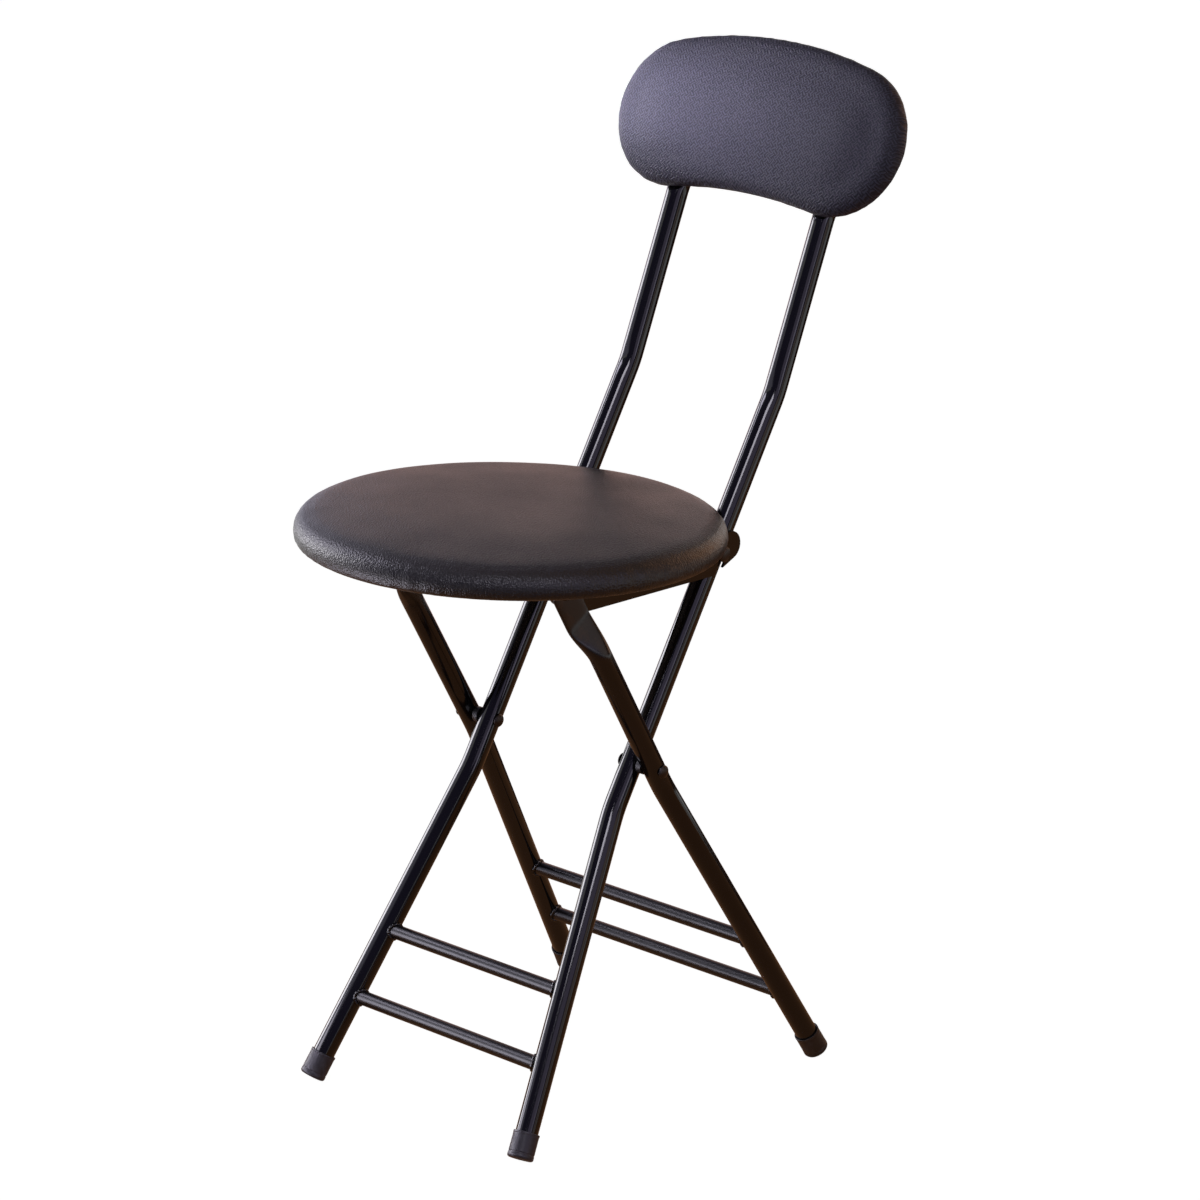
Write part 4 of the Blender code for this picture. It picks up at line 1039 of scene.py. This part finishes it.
# staples that hold the turned-under covering
staple = {"crown": 0.0095, "wire": 0.0006, "leg": 0.0012, "corner": 0.0006, "cornerDrop": 0.0004,
          "seatCount": 46, "seatStart": 0.03, "railRoom": 0.012, "backrestCount": 40, "tubeRoom": 0.015,
          "inset": 0.005}


def addStaples(name, place, along, outward, body):
    # one bent wire: a flat run with two short legs, a squarish ring swept over six stations
    half, wire, corner = staple["crown"] / 2, staple["wire"] / 2, staple["corner"]
    leg, drop, crest = -staple["leg"], -staple["cornerDrop"], wire * 0.6
    run = np.array([-half, -half, corner - half, half - corner, half, half])
    rise = np.array([leg, drop, crest, crest, drop, leg])
    spin = np.array([0.25, 0.75, 1.25, 1.75]) * np.pi
    inward = np.cross(along, outward)
    stations = place[:, None] + run[None, :, None] * along[:, None] + rise[None, :, None] * outward[:, None]
    lean = np.gradient(rise) / np.maximum(np.hypot(np.gradient(rise), np.gradient(run)), 1e-9)
    flatward = np.sqrt(1 - lean**2)
    normal = flatward[None, :, None] * outward[:, None] - lean[None, :, None] * along[:, None]
    ring = (np.cos(spin)[:, None] * wire, np.sin(spin)[:, None] * wire)
    points = (stations[:, :, None] + ring[0][None, None] * normal[:, :, None]
              + ring[1][None, None] * inward[:, None, None])
    index = np.arange(points[..., 0].size).reshape(points.shape[:3])
    beside = np.roll(index, -1, axis=2)
    quads = np.stack([index[:, :-1], beside[:, :-1], beside[:, 1:], index[:, 1:]], -1).reshape(-1, 4)
    caps = np.concatenate([index[:, 0], index[:, -1, ::-1]])
    mesh = closedMesh(name, points, np.concatenate([quads, caps]).tolist())
    dress(plainObject(name, mesh), steel, body, sharp=50)


turn = fullTurn(staple["seatCount"]) + staple["seatStart"]
ring = np.column_stack([np.cos(turn), np.sin(turn), np.zeros(len(turn))])
middle = np.array([seatMiddle[0], seatMiddle[1], seatBottom])
place = middle + (seatLip + staple["inset"]) * ring
place = place[np.abs(np.abs(place[:, 0]) - railInner) > staple["railRoom"]]
along = tipSeat(pivot + np.cross(-zAxis, unit(place - middle))) - pivot
addStaples("seatStaples", tipSeat(place), along, np.tile(-seatUp, (len(place), 1)), "seat")

outline = beanOutline(backrestLip - staple["inset"], 200)
loop = np.column_stack([outline, np.full(len(outline), backrestBack)])
path = Path(backrestPoints(np.vstack([loop, loop[:1]])))
want = np.linspace(0, path.length, staple["backrestCount"], endpoint=False)
place = path.at(want)
along = unit(path.at(want + 0.001) - place)
keep = np.abs(np.abs(place[:, 0]) - backSpan) > staple["tubeRoom"]
place, along = place[keep], along[keep]
addStaples("backrestStaples", place, along, np.tile(-topFront, (len(place), 1)), "main_frame")
print("staples made")


# solids that stay: boards and rails, with softened edges
kept = {"seat_board": (seatPly, 0.0006), "backrest_board": (backPly, 0.0006),
        "seat_rail_left": (paint, 0.0005), "seat_rail_right": (paint, 0.0005)}
softEdge = {"merge": 0.00001, "segments": 2, "angle": 40}
for node, (material, width) in kept.items():
    solid = frame["nodes"][node]
    solid.data.materials.clear()
    solid.data.materials.append(material)
    merge = solid.modifiers.new("merge", "WELD")
    merge.merge_threshold = softEdge["merge"]
    bevel = solid.modifiers.new("edges", "BEVEL")
    bevel.width, bevel.segments, bevel.limit_method = width, softEdge["segments"], "ANGLE"
    bevel.angle_limit = math.radians(softEdge["angle"])
    bevel.harden_normals = False
print("boards and rails dressed")


# studio: pale floor and white surround; places are (right, near, up) as the camera sees them
studio = {"surround": 0.07, "floor": (0.86, 0.86, 0.87), "floorSize": 14.0, "floorDrop": 0.0004,
          "floorGlow": 1.78, "glowShare": 0.55, "cardHeight": 0.35, "cardDistance": 4.6,
          "lampColour": (0.95, 0.94, 1.0)}


def viewPlace(right, near, up):
    return right * viewRight + near * viewNear + up * zAxis


def addSurround():
    world = bpy.data.worlds.new("surround")
    bpy.context.scene.world = world
    world.use_nodes = True
    background = world.node_tree.nodes["Background"]
    background.inputs["Color"].default_value = (1, 1, 1, 1)
    rays = world.node_tree.nodes.new("ShaderNodeLightPath")
    seen, glossy, clear = (Wire(world.node_tree, rays.outputs[ray]) for ray in
                           ("Is Camera Ray", "Is Glossy Ray", "Is Transmission Ray"))
    white = seen.maths("MAXIMUM", seen, glossy.maths("MAXIMUM", glossy, clear))
    strength = studio["surround"] + white * (1 - studio["surround"])
    world.node_tree.links.new(strength.socket, background.inputs["Strength"])


def addSheet(name, corners, faces, material):
    mesh = bpy.data.meshes.new(name)
    mesh.from_pydata([tuple(corner) for corner in corners], [], [tuple(face) for face in faces])
    mesh.materials.append(material)
    sheet = plainObject(name, mesh)
    return sheet


def addFloor():  # glows white to the camera, and its own share of light keeps the shadow
    pale = Finish("paleFloor")
    pale.set(baseColor=(*studio["floor"], 1), roughness=0.9, specularIorLevel=0.1)
    glow = pale.node("Emission", sockets={"Color": (1, 1, 1, 1), "Strength": studio["floorGlow"]})
    seen, glossy = (pale.node("LightPath", output=ray) for ray in ("Is Camera Ray", "Is Glossy Ray"))
    mix = pale.node("MixShader", sockets={0: seen.maths("MAXIMUM", seen, glossy) * studio["glowShare"]})
    join(pale.tree, mix.socket.node.inputs[1], Wire(pale.tree, pale.shader.outputs[0]))
    join(pale.tree, mix.socket.node.inputs[2], glow)
    pale.tree.links.new(mix.socket, pale.tree.nodes["Material Output"].inputs["Surface"])
    size, low = studio["floorSize"] / 2, -studio["floorDrop"]
    corners = [(-size, -size, low), (size, -size, low), (size, size, low), (-size, size, low)]
    addSheet("floor", corners, [(0, 1, 2, 3)], pale.material)


def glowFinish(name, colour):
    tint = Finish(name)
    tint.set(baseColor=(0, 0, 0, 1), specularIorLevel=0.0, emissionColor=(*colour, 1), emissionStrength=1.0)
    return tint.material


def addGlow(name, corners, faces, colour):  # seen only in reflections
    sheet = addSheet(name, corners, faces, glowFinish(name, colour))
    sheet.visible_camera = sheet.visible_diffuse = sheet.visible_shadow = False
    sheet.visible_transmission = False


def addCard(name, azimuths, elevations, colour, distance=studio["cardDistance"]):
    # patch of a sphere round the stool; azimuth 0 is the camera's side and turns to the right
    azimuth = np.radians(np.linspace(*azimuths, 13))[:, None, None]
    elevation = np.radians(np.linspace(*elevations, 9))[None, :, None]
    flat = distance * np.cos(elevation)
    height = studio["cardHeight"] + distance * np.sin(elevation)
    points = flat * np.sin(azimuth) * viewRight + flat * np.cos(azimuth) * viewNear + height * zAxis
    index = np.arange(points[..., 0].size).reshape(points.shape[:2])
    quads = np.stack([index[:-1, :-1], index[1:, :-1], index[1:, 1:], index[:-1, 1:]], -1).reshape(-1, 4)
    addGlow(name, points.reshape(-1, 3), quads, colour)


def addFlatCard(name, places, colour):
    addGlow(name, [viewPlace(*place) for place in places], [(0, 1, 2, 3)], colour)


def addWall(name, first, second, heights, colour):  # upright, between two places on the floor
    low, high = heights
    addFlatCard(name, [(*first, low), (*second, low), (*second, high), (*first, high)], colour)


def addFloorCard(name, rights, nears, colour):
    (left, right), (far, near) = rights, nears
    addFlatCard(name, [(left, far, 0), (right, far, 0), (right, near, 0), (left, near, 0)], colour)


def addLamp(name, place, target, look):
    data = bpy.data.lights.new(name, "AREA")
    data.shape = "RECTANGLE"
    data.size, data.size_y = look["size"]
    data.energy = look["power"]
    data.color = studio["lampColour"]
    data.spread = math.radians(look["spread"])
    lamp = bpy.data.objects.new(name, data)
    back = unit(place - target)
    right = unit(np.cross(zAxis, back))
    standAt(lamp, right, np.cross(back, right), back, place)
    lamp.visible_camera = lamp.visible_glossy = False


def addFlags(name, place, target, look):  # keep a lamp off what is above and below its beam
    beam = unit(target - place)
    up = unit(topUp - (topUp @ beam) * beam)
    wide = look["halfWidth"] * np.cross(beam, up)
    for word, side in (("Upper", 1), ("Lower", -1)):
        near = (place + target) / 2 + side * look["opening"] / 2 * up
        far = near + side * look["height"] * up
        corners = [near - wide, near + wide, far + wide, far - wide]
        sheet = addSheet(name + word, corners, [(0, 1, 2, 3)], glowFinish(name + word, (0, 0, 0)))
        sheet.visible_camera = sheet.visible_diffuse = sheet.visible_glossy = False
        sheet.visible_transmission = False


addSurround()
addFloor()
sideLamp = {"place": (-0.41, 0.06, 0.28), "target": (-0.03, 0.058, 0.0),  # beside the backrest
            "size": (0.1, 0.1), "power": 0.138, "spread": 27}
keyLamp = {"place": (-0.9, 0.35, 0.72), "target": (0, 0, 0.45), "size": (0.45, 0.45), "power": 1.0,
           "spread": 180}
flag = {"opening": 0.07, "halfWidth": 0.1, "height": 0.08}
beamEnds = [backrestPoints(np.array(sideLamp[end])) for end in ("place", "target")]
addLamp("sideLamp", *beamEnds, sideLamp)
addFlags("backrestFlag", *beamEnds, flag)
addLamp("keyLamp", viewPlace(*keyLamp["place"]), viewPlace(*keyLamp["target"]), keyLamp)
cards = {  # azimuths and elevations in degrees, colour, and the distance where it differs
    "nearCard": ((-70, 60), (-2, 55), (0.11, 0.1, 0.19)),
    "lavenderCard": ((8, 52), (14, 42), (0.66, 0.58, 0.86), 4.5),
    "ceilingCard": ((-70, 60), (55, 88), (0.4, 0.37, 0.42)),
    "leftCard": ((-106, -70), (30, 88), (0.16, 0.16, 0.24)),
    "lowLeftCard": ((-106, -66), (-2, 26), (0.8, 0.78, 1.0), 4.5),
    "lowEdgeCard": ((-66, -56), (-2, 26), (0.4, 0.39, 0.52), 4.5),
    "rightCard": ((60, 150), (-2, 36), (0.06, 0.03, 0.018)),
    "upperRightCard": ((60, 150), (36, 88), (0.34, 0.22, 0.15)),
    "sunCard": ((108, 150), (0, 34), (1.2, 0.68, 0.42), 4.4),
    "upperCard": ((150, 190), (24, 60), (0.14, 0.12, 0.15)),
    "upperLeftCard": ((190, 254), (30, 60), (0.14, 0.13, 0.18)),
    "paleCard": ((190, 254), (-2, 30), (1.0, 0.97, 1.2), 4.7),
    "zenithCard": ((150, 254), (60, 88), (0.56, 0.5, 0.64)),
    "whiteCard": ((-133, -110), (-2, 20), (9.5, 9.3, 9.9)),
    "windowCard": ((-132, -98), (29, 42), (7.5, 7.2, 8.8), 4.4),
    "stripCard": ((-14, 11), (34, 46), (9.0, 8.7, 10.0), 4.4),
    "lineCard": ((31, 43), (-2, 14), (1.8, 1.68, 2.2), 4.4),
    "warmCard": ((53, 85), (0, 42), (0.75, 0.6, 0.55), 4.5),
}
for name, card in cards.items():
    addCard(name, *card)
addWall("leftWall", (-0.6, 0.02), (-0.6, 0.5), (0.0, 0.25), (6.0, 5.8, 6.8))
addWall("backWall", (-0.36, -1.2), (0.34, -1.2), (0.0, 0.82), (0.82, 0.52, 0.46))
addFloorCard("brownFloor", (-2.0, 2.0), (-0.6, 0.9), (0.3, 0.14, 0.065))
addFloorCard("nearFloor", (-2.0, 2.0), (0.9, 3.0), (0.12, 0.11, 0.17))
addFloorCard("darkFloor", (-0.1, 3.0), (-3.0, -0.6), (0.06, 0.03, 0.02))
print("stage lit")

bpy.context.scene.view_settings.view_transform = "Standard"
